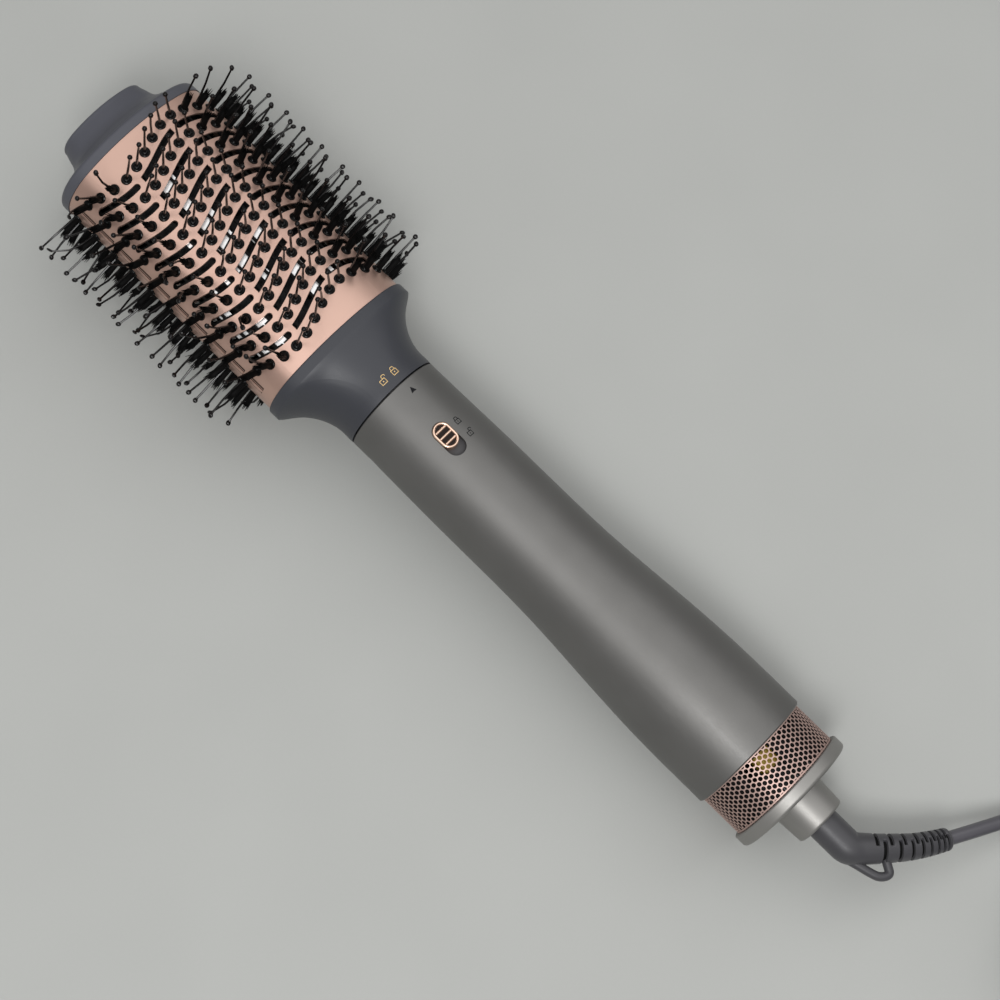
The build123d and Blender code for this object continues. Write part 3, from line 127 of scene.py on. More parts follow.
def finish_of(
    name, color, roughness, metallic=0.0, vary=0.06, patch=60.0, grain=2500.0, bump=0.02,
    coat=0.0, sheen=0.0, specular=0.5,
):
    material = bpy.data.materials.new(name)
    material.use_nodes = True
    tree = material.node_tree
    shader = tree.nodes["Principled BSDF"]
    shader.inputs["Metallic"].default_value = metallic
    shader.inputs["Coat Weight"].default_value = coat
    shader.inputs["Coat Roughness"].default_value = COAT_ROUGHNESS
    shader.inputs["Sheen Weight"].default_value = sheen
    shader.inputs["Specular IOR Level"].default_value = specular
    place = tree.nodes.new("ShaderNodeTexCoord").outputs["Object"]
    patches = linked_noise(tree, place, patch)
    grains = linked_noise(tree, place, grain, detail=3.0)
    shade = tree.nodes.new("ShaderNodeMix")
    shade.data_type = "RGBA"
    shade.inputs["A"].default_value = (*[channel * (1 - vary) for channel in color], 1)
    shade.inputs["B"].default_value = (*[min(channel * (1 + vary), 1) for channel in color], 1)
    both = tree.nodes.new("ShaderNodeMath")
    both.operation = "ADD"
    tree.links.new(ranged(tree, patches, 0.0, PATCH_SHARE), both.inputs[0])
    tree.links.new(ranged(tree, grains, 0.0, 1 - PATCH_SHARE), both.inputs[1])
    tree.links.new(both.outputs[0], shade.inputs["Factor"])
    tree.links.new(shade.outputs["Result"], shader.inputs["Base Color"])
    low, high = roughness * (1 - ROUGHNESS_SPREAD), roughness * (1 + ROUGHNESS_SPREAD)
    tree.links.new(ranged(tree, grains, low, high), shader.inputs["Roughness"])
    relief = tree.nodes.new("ShaderNodeBump")
    relief.inputs["Strength"].default_value = bump
    relief.inputs["Distance"].default_value = BUMP_DEPTH
    tree.links.new(grains, relief.inputs["Height"])
    tree.links.new(relief.outputs["Normal"], shader.inputs["Normal"])
    return material


# Each slot's or piece's colour and roughness, and what else departs from finish_of's usual values
FINISHES = {
    "rose_gold": ((0.57, 0.375, 0.305), 0.34, dict(metallic=0.75, vary=0.03, bump=0.05)),
    "rose_gold_trim": ((0.82, 0.58, 0.45), 0.22, dict(metallic=0.9, vary=0.03)),
    "gunmetal_paint": (
        (0.158, 0.155, 0.149), 0.52,
        dict(metallic=0.75, vary=0.07, grain=3200.0, bump=0.25, coat=0.06),
    ),
    # Painted highlight: the handle's gunmetal paint, lighter, for the dial and the tail boss
    "gunmetal_painted_highlight": ((0.270, 0.263, 0.250), 0.46, dict(metallic=0.7, vary=0.06, grain=3200.0, bump=0.25)),
    # Painted light: the slate plastic, lighter, for the end cap
    "slate_painted_light": ((0.078, 0.080, 0.095), 0.42, dict(vary=0.05, grain=3000.0, bump=0.15, specular=0.35)),
    "slate_plastic": (
        (0.041, 0.043, 0.051), 0.42,
        dict(vary=0.05, grain=3000.0, bump=0.15, specular=0.35),
    ),
    "grille_copper": ((0.48, 0.34, 0.30), 0.52, dict(metallic=0.7, vary=0.05, bump=0.1)),
    "pin_black": ((0.003, 0.003, 0.003), 0.16, dict(vary=0.1, specular=0.16)),
    "pin_brown": ((0.005, 0.004, 0.004), 0.22, dict(vary=0.15, specular=0.25)),
    "tuft_black": ((0.003, 0.003, 0.003), 0.60, dict(vary=0.25, patch=900.0, specular=0.06)),
    # Near-black: the real carriers, and painted shade in the grille's holes and the boot's slots
    "carrier_black_and_painted_shade": ((0.003, 0.003, 0.003), 0.65, dict(vary=0.15, specular=0.12)),
    # Painted shade: a dark copy of the bright guide, for where it shows unlit through the vents
    "guide_painted_shade": ((0.020, 0.020, 0.021), 0.50, dict(vary=0.15, specular=0.3)),
    # Near-white: painted reflection, on the glare sheets seen through the vents
    "bright_guide": ((0.90, 0.90, 0.90), 0.22, dict(metallic=0.35, vary=0.03)),
    "dark_nylon": ((0.040, 0.038, 0.041), 0.50, dict(vary=0.1, bump=0.2)),
    "duct_nylon": ((0.045, 0.045, 0.050), 0.48, dict(vary=0.1, bump=0.2)),
    "fan_nylon": ((0.30, 0.31, 0.32), 0.42, dict(vary=0.05, bump=0.1)),
    "seal_rubber": ((0.025, 0.025, 0.026), 0.70, dict(vary=0.1, bump=0.3)),
    "mica": ((0.52, 0.45, 0.33), 0.45, dict(vary=0.18, patch=300.0, coat=0.3)),
    "heater_wire": ((0.50, 0.47, 0.43), 0.35, dict(metallic=0.9, vary=0.1)),
    "steel": ((0.50, 0.50, 0.51), 0.30, dict(metallic=0.95, vary=0.06, bump=0.08)),
    "fuse_shell": ((0.80, 0.80, 0.80), 0.18, dict(metallic=0.95, vary=0.04)),
    "wiper_brass": ((0.72, 0.53, 0.26), 0.25, dict(metallic=0.95, vary=0.06)),
    "board_green": ((0.008, 0.030, 0.020), 0.40, dict(vary=0.12)),
    "capacitor_yellow": ((0.30, 0.20, 0.008), 0.40, dict(vary=0.05)),
    "diode_black": ((0.02, 0.02, 0.02), 0.30, dict(vary=0.1)),
    "relief_rubber": ((0.044, 0.043, 0.048), 0.46, dict(vary=0.07, grain=2200.0, bump=0.35, sheen=0.1)),
    "cord_jacket": ((0.086, 0.083, 0.094), 0.34, dict(vary=0.05, bump=0.15)),
    "plug_plastic": ((0.080, 0.078, 0.085), 0.40, dict(vary=0.06, grain=1800.0, bump=0.25)),
    "plug_brass": ((0.80, 0.78, 0.72), 0.16, dict(metallic=0.95, vary=0.04)),
    "print_gold": ((0.66, 0.45, 0.19), 0.35, dict(metallic=0.4, vary=0.06)),
    "print_dark": ((0.006, 0.006, 0.008), 0.60, dict(vary=0.06, specular=0.2)),
    # Dark brown: the button's real fill, and painted shade in the barrel seam's gaps
    "button_fill_and_seam_shade": ((0.014, 0.008, 0.006), 0.50, dict(vary=0.1, specular=0.15)),
    "floor_paper": ((0.418, 0.425, 0.408), 0.85, dict(vary=0.03, patch=14.0, grain=900.0, bump=0.1)),
}
MATERIALS = {
    name: finish_of(name, color, roughness, **more)
    for name, (color, roughness, more) in FINISHES.items()
}

# Nodes whose finish departs from that of their slot: lighter copies of the handle paint and the slate as painted
# highlight and painted light, and a dark copy of the guide as painted shade
OWN_FINISH = {
    "selector_dial": "gunmetal_painted_highlight",
    "tail_boss": "gunmetal_painted_highlight",
    "end_cap": "slate_painted_light",
    "air_guide": "guide_painted_shade",
}


def dress(piece, material):
    piece.data.materials.clear()
    piece.data.materials.append(MATERIALS[material])


def dress_cad_nodes():
    for entry in frame["record"]["subparts"]:
        dress(cad_nodes[entry["node"]], OWN_FINISH.get(entry["node"], entry["material_slot"]))


# Pieces made from vertices and faces
class Shape:
    """Vertices and faces of one piece, gathered ring by ring."""

    def __init__(self):
        self.points = []
        self.faces = []

    def ring(self, points):
        start = len(self.points)
        self.points.extend(points)
        return list(range(start, start + len(points)))

    def join(self, first, second, closed=True):
        count = len(first)
        for step in range(count if closed else count - 1):
            after = (step + 1) % count
            self.faces.append((first[step], first[after], second[after], second[step]))

    def cap(self, ring, outward=True):
        self.faces.append(tuple(ring) if outward else tuple(reversed(ring)))

    def loft(self, rings):
        """A skin from ring to ring, closed at both ends."""
        for first, second in zip(rings, rings[1:]):
            self.join(first, second)
        self.cap(rings[0], outward=False)
        self.cap(rings[-1])

    def piece(self, name, material, body, slot, sharp=35.0):
        mesh = bpy.data.meshes.new(name)
        mesh.from_pydata([tuple(point) for point in self.points], [], self.faces)
        mesh.validate()
        draft = bmesh.new()
        draft.from_mesh(mesh)
        bmesh.ops.recalc_face_normals(draft, faces=draft.faces)
        draft.to_mesh(mesh)
        draft.free()
        mesh.shade_smooth()
        mesh.set_sharp_from_angle(angle=radians(sharp))
        made = bpy.data.objects.new(name, mesh)
        bpy.context.scene.collection.objects.link(made)
        dress(made, material)
        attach(made, body)
        return made


def circle(centre, across, over, radius, count):
    turns = [2 * pi * step / count for step in range(count)]
    return [centre + across * (radius * cos(turn)) + over * (radius * sin(turn)) for turn in turns]


def square_to(direction):
    """Two ways square to a direction and to each other, that make a right-handed frame with it."""
    across = direction.orthogonal().normalized()
    return across, direction.cross(across).normalized()


def turned(shape, foot, direction, profile, count):
    """A turned form on a foot: the profile lists radius and height in millimetres."""
    across, over = square_to(direction)
    rings = [
        shape.ring(circle(foot + direction * (height * MM), across, over, radius * MM, count))
        for radius, height in profile
    ]
    shape.loft(rings)


BALL_TURNS = (-64, -38, -10, 20, 50, 76)


def strand(shape, line, radii, count, ball=None):
    """A round strand through the points of a line, with a ball at its tip if a radius is given."""
    rings = []
    across, over = square_to((line[1] - line[0]).normalized())
    for point, radius in zip(line, radii):
        rings.append(shape.ring(circle(point, across, over, radius * MM, count)))
    if ball:
        tip_way = (line[-1] - line[-2]).normalized()
        for turn in BALL_TURNS:
            centre = line[-1] + tip_way * (ball * sin(radians(turn)) * MM)
            rings.append(shape.ring(circle(centre, across, over, ball * cos(radians(turn)) * MM, count)))
    shape.loft(rings)


# Head: sizes in millimetres, as the solids have them.
OVAL_TURN = radians(65.9)
BARREL_HALF_WIDTH = 31.05
BARREL_HALF_DEPTH = 20.0
BARREL_WALL = 0.9
BARREL_START = -126.5
BARREL_END = -27.75
BED_START = BARREL_START + 2.5
BED_END = BARREL_END - 3.3
BED_DEPTH = BARREL_WALL + 0.2
BED_THICK = 1.0
BAND_WIDTH = 4
BAR_STEPS = 6
ROW_BAR_HALF = 0.09
ROW_BAR_INSET = 3
RIB_START = 0.4
RIB_END = 2.4
RIB_STEPS = 12
ROW_COUNT = 30
COLUMN_COUNT = 10
FIRST_COLUMN = -118.8
COLUMN_PITCH = 9.09
WAVE_HEIGHT = 3.48
WAVE_ROWS = 10
FLAT_ROWS = (-2.5, -1.5, -0.5, 0.5, 1.5, 2.5)
FLAT_ENDS = (-2.95, 2.95)
EDGE_ROWS = (3.5, 4.5, 5.5, 6.5, 7.5, 8.5, 9.5, 10.5, 11.5)
EDGE_ENDS = (3.05, 11.95)
SEAM_ROW = 6.5
# Painted reflection: thin near-white sheets stand in for the glare off the guide seen through the vents
GLARE_HALF = 2.7
GLARE_GAP = 0.15
GLARE_THICK = 0.25
GLARE_STEPS = 6

# Where painted glare shows in the vents: a vent's column, and the first and last row between which the bright
# sheet follows the vent
GLARE_SPANS = (
    (1, 1.44, 0.18), (2, 1.26, 0.54), (3, 1.44, 0.0), (4, 1.62, 0.18), (5, 1.75, 0.54), (5, -0.36, -1.62),
    (6, 0.9, 0.3), (7, -0.65, -1.73), (8, -0.5, -1.62), (3, 2.85, 2.45), (5, 2.85, 2.45), (5, 3.8, 3.5),
    (6, 4.83, 4.0), (7, 4.96, 4.15), (7, 3.5, 2.67), (8, 4.83, 4.0), (8, 3.5, 2.67), (7, -2.4, -2.75),
    (8, -2.5, -3.0),
)
PIN_HEIGHT = 18.0
PIN_SIDES = 8
PIN_SHIFT = -0.8
BOSS_SIDES = 18

# Tufts: a solid core with single hairs around it
TUFT_HEIGHT = 8.4
TUFT_SHIFT = 0.35
TUFT_HAIRS = 32
TUFT_CORE = ((0.9, 0.0), (1.1, 3.0), (1.2, 5.9), (0.7, 6.7))
TUFT_CORE_SIDES = 8
TUFT_CORE_SWEEP = 0.5
TUFT_FOOT = 0.88
TUFT_SWEEP = (0.5, 0.25)
HAIR_SHARES = (0.0, 0.4, 0.75, 1.0)
HAIR_RADII = (0.25, 0.25, 0.21, 0.08)
HAIR_SIDES = 4
HAIR_TURN = 2.4
HAIR_LEAN = (0.028, 0.01)
HAIR_FRAY = 0.014
STRAY_CHANCE = 0.04
STRAY_FRAY = 7
SHORT_HAIRS = (0.82, 0.98)
LONG_HAIRS = (0.95, 1.12)

# How much each edge's pins and tufts depart from straight, and the seed of each bed's draws
LEFT_WILD = 0.20
RIGHT_WILD = 0.07
EDGE_LEAN = 0.5
FLAT_LEAN = 0.025
FLAT_BEND = 0.03
SEEDS = {"front": 11, "back": 12, "left": 13, "right": 14}

OVAL_STEP = (BARREL_HALF_WIDTH - BARREL_HALF_DEPTH) / (sin(OVAL_TURN) + cos(OVAL_TURN) - 1)
END_RADIUS = BARREL_HALF_WIDTH - OVAL_STEP * cos(OVAL_TURN)
FACE_RADIUS = END_RADIUS + OVAL_STEP
FACE_ANGLE = pi / 2 - OVAL_TURN
FACE_ARC = FACE_RADIUS * FACE_ANGLE
ROW_PITCH = 4 * (FACE_ARC + END_RADIUS * OVAL_TURN) / ROW_COUNT
LAST_ROW = ROW_COUNT / 2


def folded(row):
    side = 1 if row > 0 else -1
    return side * min(abs(row), LAST_ROW - abs(row))


def rim(row, depth=0.0):
    """A row's place on the barrel's section, so deep under its surface, and the way out there."""
    side = -1 if row > 0 else 1
    face = 1 if abs(row) <= LAST_ROW / 2 else -1
    arc = abs(folded(row)) * ROW_PITCH
    if arc <= FACE_ARC:
        angle = arc / FACE_RADIUS
        x = FACE_RADIUS * sin(angle)
        y = BARREL_HALF_DEPTH - FACE_RADIUS * (1 - cos(angle))
    else:
        angle = FACE_ANGLE + (arc - FACE_ARC) / END_RADIUS
        x = BARREL_HALF_WIDTH - END_RADIUS + END_RADIUS * sin(angle)
        y = END_RADIUS * cos(angle)
    out_x, out_y = side * sin(angle), face * cos(angle)
    return side * x - depth * out_x, face * y - depth * out_y, out_x, out_y


def station(row, column):
    return FIRST_COLUMN + column * COLUMN_PITCH + WAVE_HEIGHT * sin(2 * pi * folded(row) / WAVE_ROWS)


def flat_feet(face):
    for row in FLAT_ROWS:
        x, y, _, _ = rim(row)
        for column in range(COLUMN_COUNT):
            yield placed(x, face * y, station(row, column)), way(0, face)


def edge_feet(side):
    for row in EDGE_ROWS:
        if side > 0 and row == SEAM_ROW:
            continue
        x, y, out_x, out_y = rim(side * row)
        for column in range(COLUMN_COUNT):
            yield placed(x, y, station(side * row, column)), way(out_x, out_y)


BOSS_PROFILE = (
    (1.85, -1.2), (1.85, 0.10), (1.76, 0.32), (1.55, 0.42), (1.36, 0.36), (1.26, 0.38),
    (1.16, 0.62), (0.92, 0.84), (0.60, 0.94),
)
PIN_PROFILE = ((0.56, 0.0), (0.47, 0.25), (0.40, 0.6), (0.37, 0.88), (0.50, 0.955))
BALL_RADIUS = 0.94


def pin(shape, foot, direction, draw, lean, bend):
    """A ball-tip pin: it leans a little, and bends towards its tip."""
    across, over = square_to(direction)
    around = draw.uniform(0, 2 * pi)
    sway = across * cos(around) + over * sin(around)
    start = draw.gauss(0, lean)
    curl = abs(draw.gauss(0, bend))
    height = PIN_HEIGHT - BALL_RADIUS
    line = []
    for _, share in PIN_PROFILE:
        drift = start * share + curl * share**2
        line.append(foot + (direction + sway * drift).normalized() * (height * share * MM))
    strand(shape, line, [radius for radius, _ in PIN_PROFILE], PIN_SIDES, BALL_RADIUS)


# The lean of the upper face's pins: a part for all, and a part per millimetre across the face
LEAN_SIDE = (0.033, -0.0072)
LEAN_ALONG = (-0.03, -0.0042)


def settled(foot):
    """How the pins of the upper face lean: towards its middle, and a little towards the head's end."""
    across = foot.y / MM
    return SIDE * (LEAN_SIDE[0] + LEAN_SIDE[1] * across) + ALONG * (LEAN_ALONG[0] + LEAN_ALONG[1] * across)


def tuft(shape, foot, direction, draw, wild):
    """A tight bundle of stiff hairs, wider and uneven at its end, with a few strays."""
    across, over = square_to(direction)
    sweep = ALONG * draw.gauss(0.0, TUFT_SWEEP[0] * wild) + across * draw.gauss(0.0, TUFT_SWEEP[1] * wild)
    core_way = (direction + sweep * TUFT_CORE_SWEEP).normalized()
    turned(shape, foot, core_way, TUFT_CORE, TUFT_CORE_SIDES)
    for hair in range(TUFT_HAIRS):
        around = HAIR_TURN * hair
        share = sqrt((hair + 0.5) / TUFT_HAIRS)
        spread = (across * cos(around) + over * sin(around)) * share
        lean = spread * draw.gauss(*HAIR_LEAN) + sweep
        fray = (across * draw.gauss(0, 1) + over * draw.gauss(0, 1)) * HAIR_FRAY
        if draw.random() < STRAY_CHANCE:
            fray *= STRAY_FRAY
        height = TUFT_HEIGHT * draw.uniform(*(SHORT_HAIRS if hair % 3 else LONG_HAIRS))
        base = foot + spread * (TUFT_FOOT * MM)
        line = [
            base + (direction + (lean + fray * part) * part).normalized() * (height * part * MM)
            for part in HAIR_SHARES
        ]
        strand(shape, line, HAIR_RADII, HAIR_SIDES)


def carrier(shape, rows, ends, face):
    """Bars behind the barrel's wall: under each row of bosses, as a band at each end, and by each vent."""
    corners = ((RIB_START, 0.0), (RIB_END, 0.0), (RIB_END, BED_THICK), (RIB_START, BED_THICK))
    for column in range(COLUMN_COUNT - 1):
        rings = []
        for step in range(RIB_STEPS + 1):
            row = ends[0] + (ends[1] - ends[0]) * step / RIB_STEPS
            s = station(row, column + 0.5)
            places = [(rim(row, BED_DEPTH + depth), s + past) for past, depth in corners]
            rings.append(shape.ring([placed(place[0], face * place[1], along) for place, along in places]))
        shape.loft(rings)
    spans = [(row, ROW_BAR_HALF, BED_START + ROW_BAR_INSET, BED_END - ROW_BAR_INSET) for row in rows]
    middle = (ends[0] + ends[1]) / 2
    half = abs(ends[1] - ends[0]) / 2
    spans.append((middle, half, BED_START, BED_START + BAND_WIDTH))
    spans.append((middle, half, BED_END - BAND_WIDTH, BED_END))
    for row, half_width, start, end in spans:
        steps = max(int(half_width * BAR_STEPS), 2)
        across = [row - half_width + 2 * half_width * step / steps for step in range(steps + 1)]
        outline = [rim(place, BED_DEPTH)[:2] for place in across]
        outline += [rim(place, BED_DEPTH + BED_THICK)[:2] for place in reversed(across)]
        shape.loft([shape.ring([placed(x, face * y, s) for x, y in outline]) for s in (start, end)])


def make_vent_glare():
    """Painted reflection: bright sheets behind the carriers, only where the vents show glare off the guide."""
    shape = Shape()
    depth = BED_DEPTH + BED_THICK + GLARE_GAP
    for face in (1, -1):
        for column, first_row, last_row in GLARE_SPANS:
            rings = []
            for step in range(GLARE_STEPS + 1):
                row = first_row + (last_row - first_row) * step / GLARE_STEPS
                s = station(row, column + 0.5)
                near = rim(row, depth)[:2]
                far = rim(row, depth + GLARE_THICK)[:2]
                edges = ((near, -GLARE_HALF), (near, GLARE_HALF), (far, GLARE_HALF), (far, -GLARE_HALF))
                rings.append(shape.ring([placed(x, face * y, s + past) for (x, y), past in edges]))
            shape.loft(rings)
    # Painted reflection of the guide, in its bright finish
    shape.piece("vent_painted_glare", "bright_guide", "head", "bright_guide")


def make_bed(name, node, feet, rows, ends, wild=0.0, face=1):
    """Bosses, pins, tufts and their carrier for one bed of the head."""
    draw = Random(SEEDS[name])
    bosses, pins, tufts, bars = Shape(), Shape(), Shape(), Shape()
    for foot, direction in feet:
        turned(bosses, foot, direction, BOSS_PROFILE, BOSS_SIDES)
        if wild:
            pin(pins, foot + way(0, 0, PIN_SHIFT) * MM, direction, draw, EDGE_LEAN * wild, wild)
            tuft(tufts, foot + way(0, 0, TUFT_SHIFT) * MM, direction, draw, wild)
        else:
            lean = settled(foot) if face > 0 else Vector()
            pin(pins, foot, (direction + lean).normalized(), draw, FLAT_LEAN, FLAT_BEND)
    carrier(bars, rows, ends, face)
    slot = "tuft_black" if wild else "pin_black"
    bed = bars.piece(name + "_carrier", "carrier_black_and_painted_shade", "head", slot)
    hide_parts(node)
    bosses.piece(name + "_bosses", "pin_black", "head", slot)
    pins.piece(name + "_ball_pins", "pin_brown", "head", slot)
    if wild:
        tufts.piece(name + "_tufts", "tuft_black", "head", slot)


def make_head():
    make_vent_glare()
    make_bed("front", "front_pins", flat_feet(1), FLAT_ROWS, FLAT_ENDS)
    make_bed("back", "back_pins", flat_feet(-1), FLAT_ROWS, FLAT_ENDS, face=-1)
    make_bed("left", "left_bristles", edge_feet(1), EDGE_ROWS, EDGE_ENDS, LEFT_WILD)
    right_rows = [-row for row in EDGE_ROWS]
    right_ends = [-row for row in reversed(EDGE_ENDS)]
    make_bed("right", "right_bristles", edge_feet(-1), right_rows, right_ends, RIGHT_WILD)


# Cord: the route's points and the coil's turns are one line.
CORD_DIAMETER = 5.0
CORD_ROUTE = [
    (189.893, 27.947, 16.385),
    (197.330, 41.516, 12.313),
    (205.1, 57.0, 7.2),
    (213.5, 70.5, 4.2),
    (226.0, 79.5, 3.5),
    (244.0, 81.0, 3.5),
    (262.0, 81.0, 3.5),
]
COIL_CENTRE = (262.05, 45.0, 3.5)
COIL_RADIUS = 36.0
COIL_PITCH = 5.5
COIL_LAYERS = 4
LAYER_TURNS = 2.25
COIL_STEPS = 16
CORD_LEAD = [
    (278.1, 80.5, 19.5),
    (294.1, 76.0, 16.5),
    (307.6, 66.0, 11.5),
    (315.6, 52.0, 7.7),
    (317.1, 36.0, 6.85),
]
CURVE_STEPS = 8
CURVE_ROUNDNESS = 5


def coil_points():
    """The coil's turns, in and out by layers, with a climb in each half turn where they reverse."""
    swell = 1 / cos(pi / COIL_STEPS)
    points = []
    for step in range(1, int(COIL_LAYERS * LAYER_TURNS * COIL_STEPS) + 1):
        turn = step / COIL_STEPS
        layer = int(turn / LAYER_TURNS)
        within = turn - layer * LAYER_TURNS
        inward = within if layer % 2 == 0 else LAYER_TURNS - within
        radius = (COIL_RADIUS - COIL_PITCH * inward) * swell
        climbed = sum(
            min(max((turn - LAYER_TURNS * number) * 2 + 0.5, 0), 1) for number in range(1, COIL_LAYERS)
        )
        angle = pi / 2 - 2 * pi * turn
        points.append((
            COIL_CENTRE[0] + radius * cos(angle),
            COIL_CENTRE[1] + radius * sin(angle),
            COIL_CENTRE[2] + COIL_PITCH * climbed,
        ))
    return points


def spline_curve(name, points, bevel):
    """A smooth curve with those points, in metres, as its control points."""
    curve = bpy.data.curves.new(name, "CURVE")
    curve.dimensions = "3D"
    spline = curve.splines.new("NURBS")
    spline.points.add(len(points) - 1)
    for knot, point in zip(spline.points, points):
        knot.co = (*point, 1)
    spline.order_u = 3
    spline.use_endpoint_u = True
    spline.resolution_u = CURVE_STEPS
    curve.bevel_depth = bevel
    curve.bevel_resolution = CURVE_ROUNDNESS
    curve.use_fill_caps = True
    made = bpy.data.objects.new(name, curve)
    bpy.context.scene.collection.objects.link(made)
    return made


def make_cord():
    route = [Vector(point) * MM for point in CORD_ROUTE + coil_points() + CORD_LEAD]
    cord = spline_curve("mains_cord", route, CORD_DIAMETER / 2 * MM)
    cord.data.materials.append(MATERIALS["cord_jacket"])
    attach(cord, "handle")
    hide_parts("cord", "cord_coil", "cord_lead")
    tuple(route[0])


# Lock seam of the rolled barrel, along the edge row that has no bosses: short folds between the tufts
SEAM_PROFILE = (
    (-1.30, -0.25), (-1.24, 0.16), (-1.10, 0.22), (-0.96, 0.16), (-0.92, 0.03), (-0.54, 0.03),
    (-0.50, 0.32), (-0.38, 0.40), (-0.22, 0.34), (-0.16, 0.28), (0.80, 0.28), (0.93, 0.15), (0.98, -0.25),
)
FOLD_LENGTH = 6.3
FOLD_OFFSET = 2.2
FOLD_MARGIN = 0.6
FOLD_SLOPE = 0.15
FOLD_END_RISE = 0.55

# Painted shade: dark strips along the folds stand in for the shadow in the seam's gaps. Where across the seam they
# lie, and their section
SEAM_SHADE_ARCS = (-1.46, -0.73, 1.09)
SEAM_SHADE_WIDTH = 0.17
SEAM_SHADE_SECTION = ((-SEAM_SHADE_WIDTH, -0.1), (-SEAM_SHADE_WIDTH, 0.13), (SEAM_SHADE_WIDTH, 0.13), (SEAM_SHADE_WIDTH, -0.1))


def fold_span(column):
    middle = station(SEAM_ROW - 1, column) + FOLD_OFFSET
    start = max(middle - FOLD_LENGTH / 2, BARREL_START + FOLD_MARGIN)
    return start, min(middle + FOLD_LENGTH / 2, BARREL_END - FOLD_MARGIN)


def seam_ring(shape, section, s, arc=0.0, rise=1.0):
    """A section of arcs and heights on the barrel's skin, at a station and so far across the seam."""
    outline = [rim(SEAM_ROW + (arc + across) / ROW_PITCH, -height * rise)[:2] for across, height in section]
    return shape.ring([placed(x, y, s) for x, y in outline])


def make_seam():
    folds = Shape()
    seam_shades = Shape()
    for column in range(COLUMN_COUNT):
        start, end = fold_span(column)
        levels = (
            (start, FOLD_END_RISE), (start + FOLD_SLOPE, 1.0), (end - FOLD_SLOPE, 1.0), (end, FOLD_END_RISE),
        )
        folds.loft([seam_ring(folds, SEAM_PROFILE, s, rise=rise) for s, rise in levels])
        ends = (start - SEAM_SHADE_WIDTH, end + SEAM_SHADE_WIDTH)
        for arc in SEAM_SHADE_ARCS:
            seam_shades.loft([seam_ring(seam_shades, SEAM_SHADE_SECTION, s, arc) for s in ends])
    folds.piece("barrel_seam", "rose_gold", "head", "rose_gold", sharp=25.0)
    # Painted shade in the seam's gaps, as thin dark strips
    seam_shades.piece("barrel_seam_shade_lines", "button_fill_and_seam_shade", "head", "rose_gold", sharp=25.0)


# Intake grille: a perforated sheet rolled into a cylinder, with a plain rim at each end
GRILLE_START = 170.1
GRILLE_END = 186.0
GRILLE_RADIUS = 22.2
GRILLE_WALL = 0.2
GRILLE_COLUMNS = 88
GRILLE_ROWS = 8
GRILLE_HOLE = 0.80
CELL_WIDTH = 2 * pi * GRILLE_RADIUS / GRILLE_COLUMNS
CELL_LENGTH = (GRILLE_END - GRILLE_START) / GRILLE_ROWS
HOLE_SIDES = 12
CELL_CORNERS = ((2 / 3, 0), (1 / 3, 0.5), (-1 / 3, 0.5), (-2 / 3, 0), (-1 / 3, -0.5), (1 / 3, -0.5))
RIM_SPANS = ((GRILLE_START - 2.6, GRILLE_START + 0.3), (GRILLE_END - 0.5, GRILLE_END))
RIM_INNER = GRILLE_RADIUS - GRILLE_WALL - 0.05
RIM_OUTER = GRILLE_RADIUS + 0.06
RIM_SIDES = 96

# Painted shade behind the sheet: near-black staves side by side that keep the holes dark, shorter where the window
# opens
CAGE_COUNT = 22
CAGE_STAVE = 15.6
CAGE_WINDOW = (-34.0, 0.0)
CAGE_OPENING = 7.5
CAGE_RADIUS = 21.6
CAGE_THICK = 1.0
CAGE_END = GRILLE_END - 0.6


def around_grille(radius, angle, s):
    return placed(radius * sin(angle), radius * cos(angle), s)


def make_grille_sheet():
    """Six-sided cells with a round hole each. Cells side by side share their corners."""
    shape = Shape()
    sides = len(CELL_CORNERS)
    known = {}

    def corner(arc, s, depth):
        key = (round(arc / CELL_WIDTH * sides) % (GRILLE_COLUMNS * sides), round(s * 100), depth)
        if key not in known:
            known[key] = len(shape.points)
            shape.points.append(around_grille(GRILLE_RADIUS - depth, arc / GRILLE_RADIUS, s))
        return known[key]

    turns = [2 * pi * step / HOLE_SIDES for step in range(HOLE_SIDES)]
    for column in range(GRILLE_COLUMNS):
        odd = column % 2
        arc = column * CELL_WIDTH
        for row in range(GRILLE_ROWS + odd):
            s = GRILLE_START + (row + 0.5 - 0.5 * odd) * CELL_LENGTH
            holes = []
            for depth in (0.0, GRILLE_WALL):
                outer = [corner(arc + u * CELL_WIDTH, s + v * CELL_LENGTH, depth) for u, v in CELL_CORNERS]
                radius = GRILLE_RADIUS - depth
                edge = [(arc + GRILLE_HOLE * cos(turn), s + GRILLE_HOLE * sin(turn)) for turn in turns]
                hole = shape.ring([around_grille(radius, u / GRILLE_RADIUS, v) for u, v in edge])
                for step in range(sides):
                    inner = (hole[(2 * step + 2) % HOLE_SIDES], hole[2 * step + 1], hole[2 * step])
                    face = (outer[step], outer[(step + 1) % sides], *inner)
                    shape.cap(face, outward=depth > 0)
                holes.append(hole)
            shape.join(holes[1], holes[0])
    sheet = shape.piece("grille_sheet", "grille_copper", "handle", "grille_copper", sharp=30.0)
    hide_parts("intake_grille")


def make_grille_rims():
    rims = Shape()
    turns = [2 * pi * step / RIM_SIDES for step in range(RIM_SIDES)]
    for start, end in RIM_SPANS:
        rings = []
        for radius, s in ((RIM_INNER, start), (RIM_OUTER, start), (RIM_OUTER, end), (RIM_INNER, end)):
            rings.append(rims.ring([placed(radius * cos(turn), radius * sin(turn), s) for turn in turns]))
        for first, second in zip(rings, rings[1:] + rings[:1]):
            rims.join(first, second)
    rims.piece("grille_rims", "grille_copper", "handle", "grille_copper", sharp=30.0)


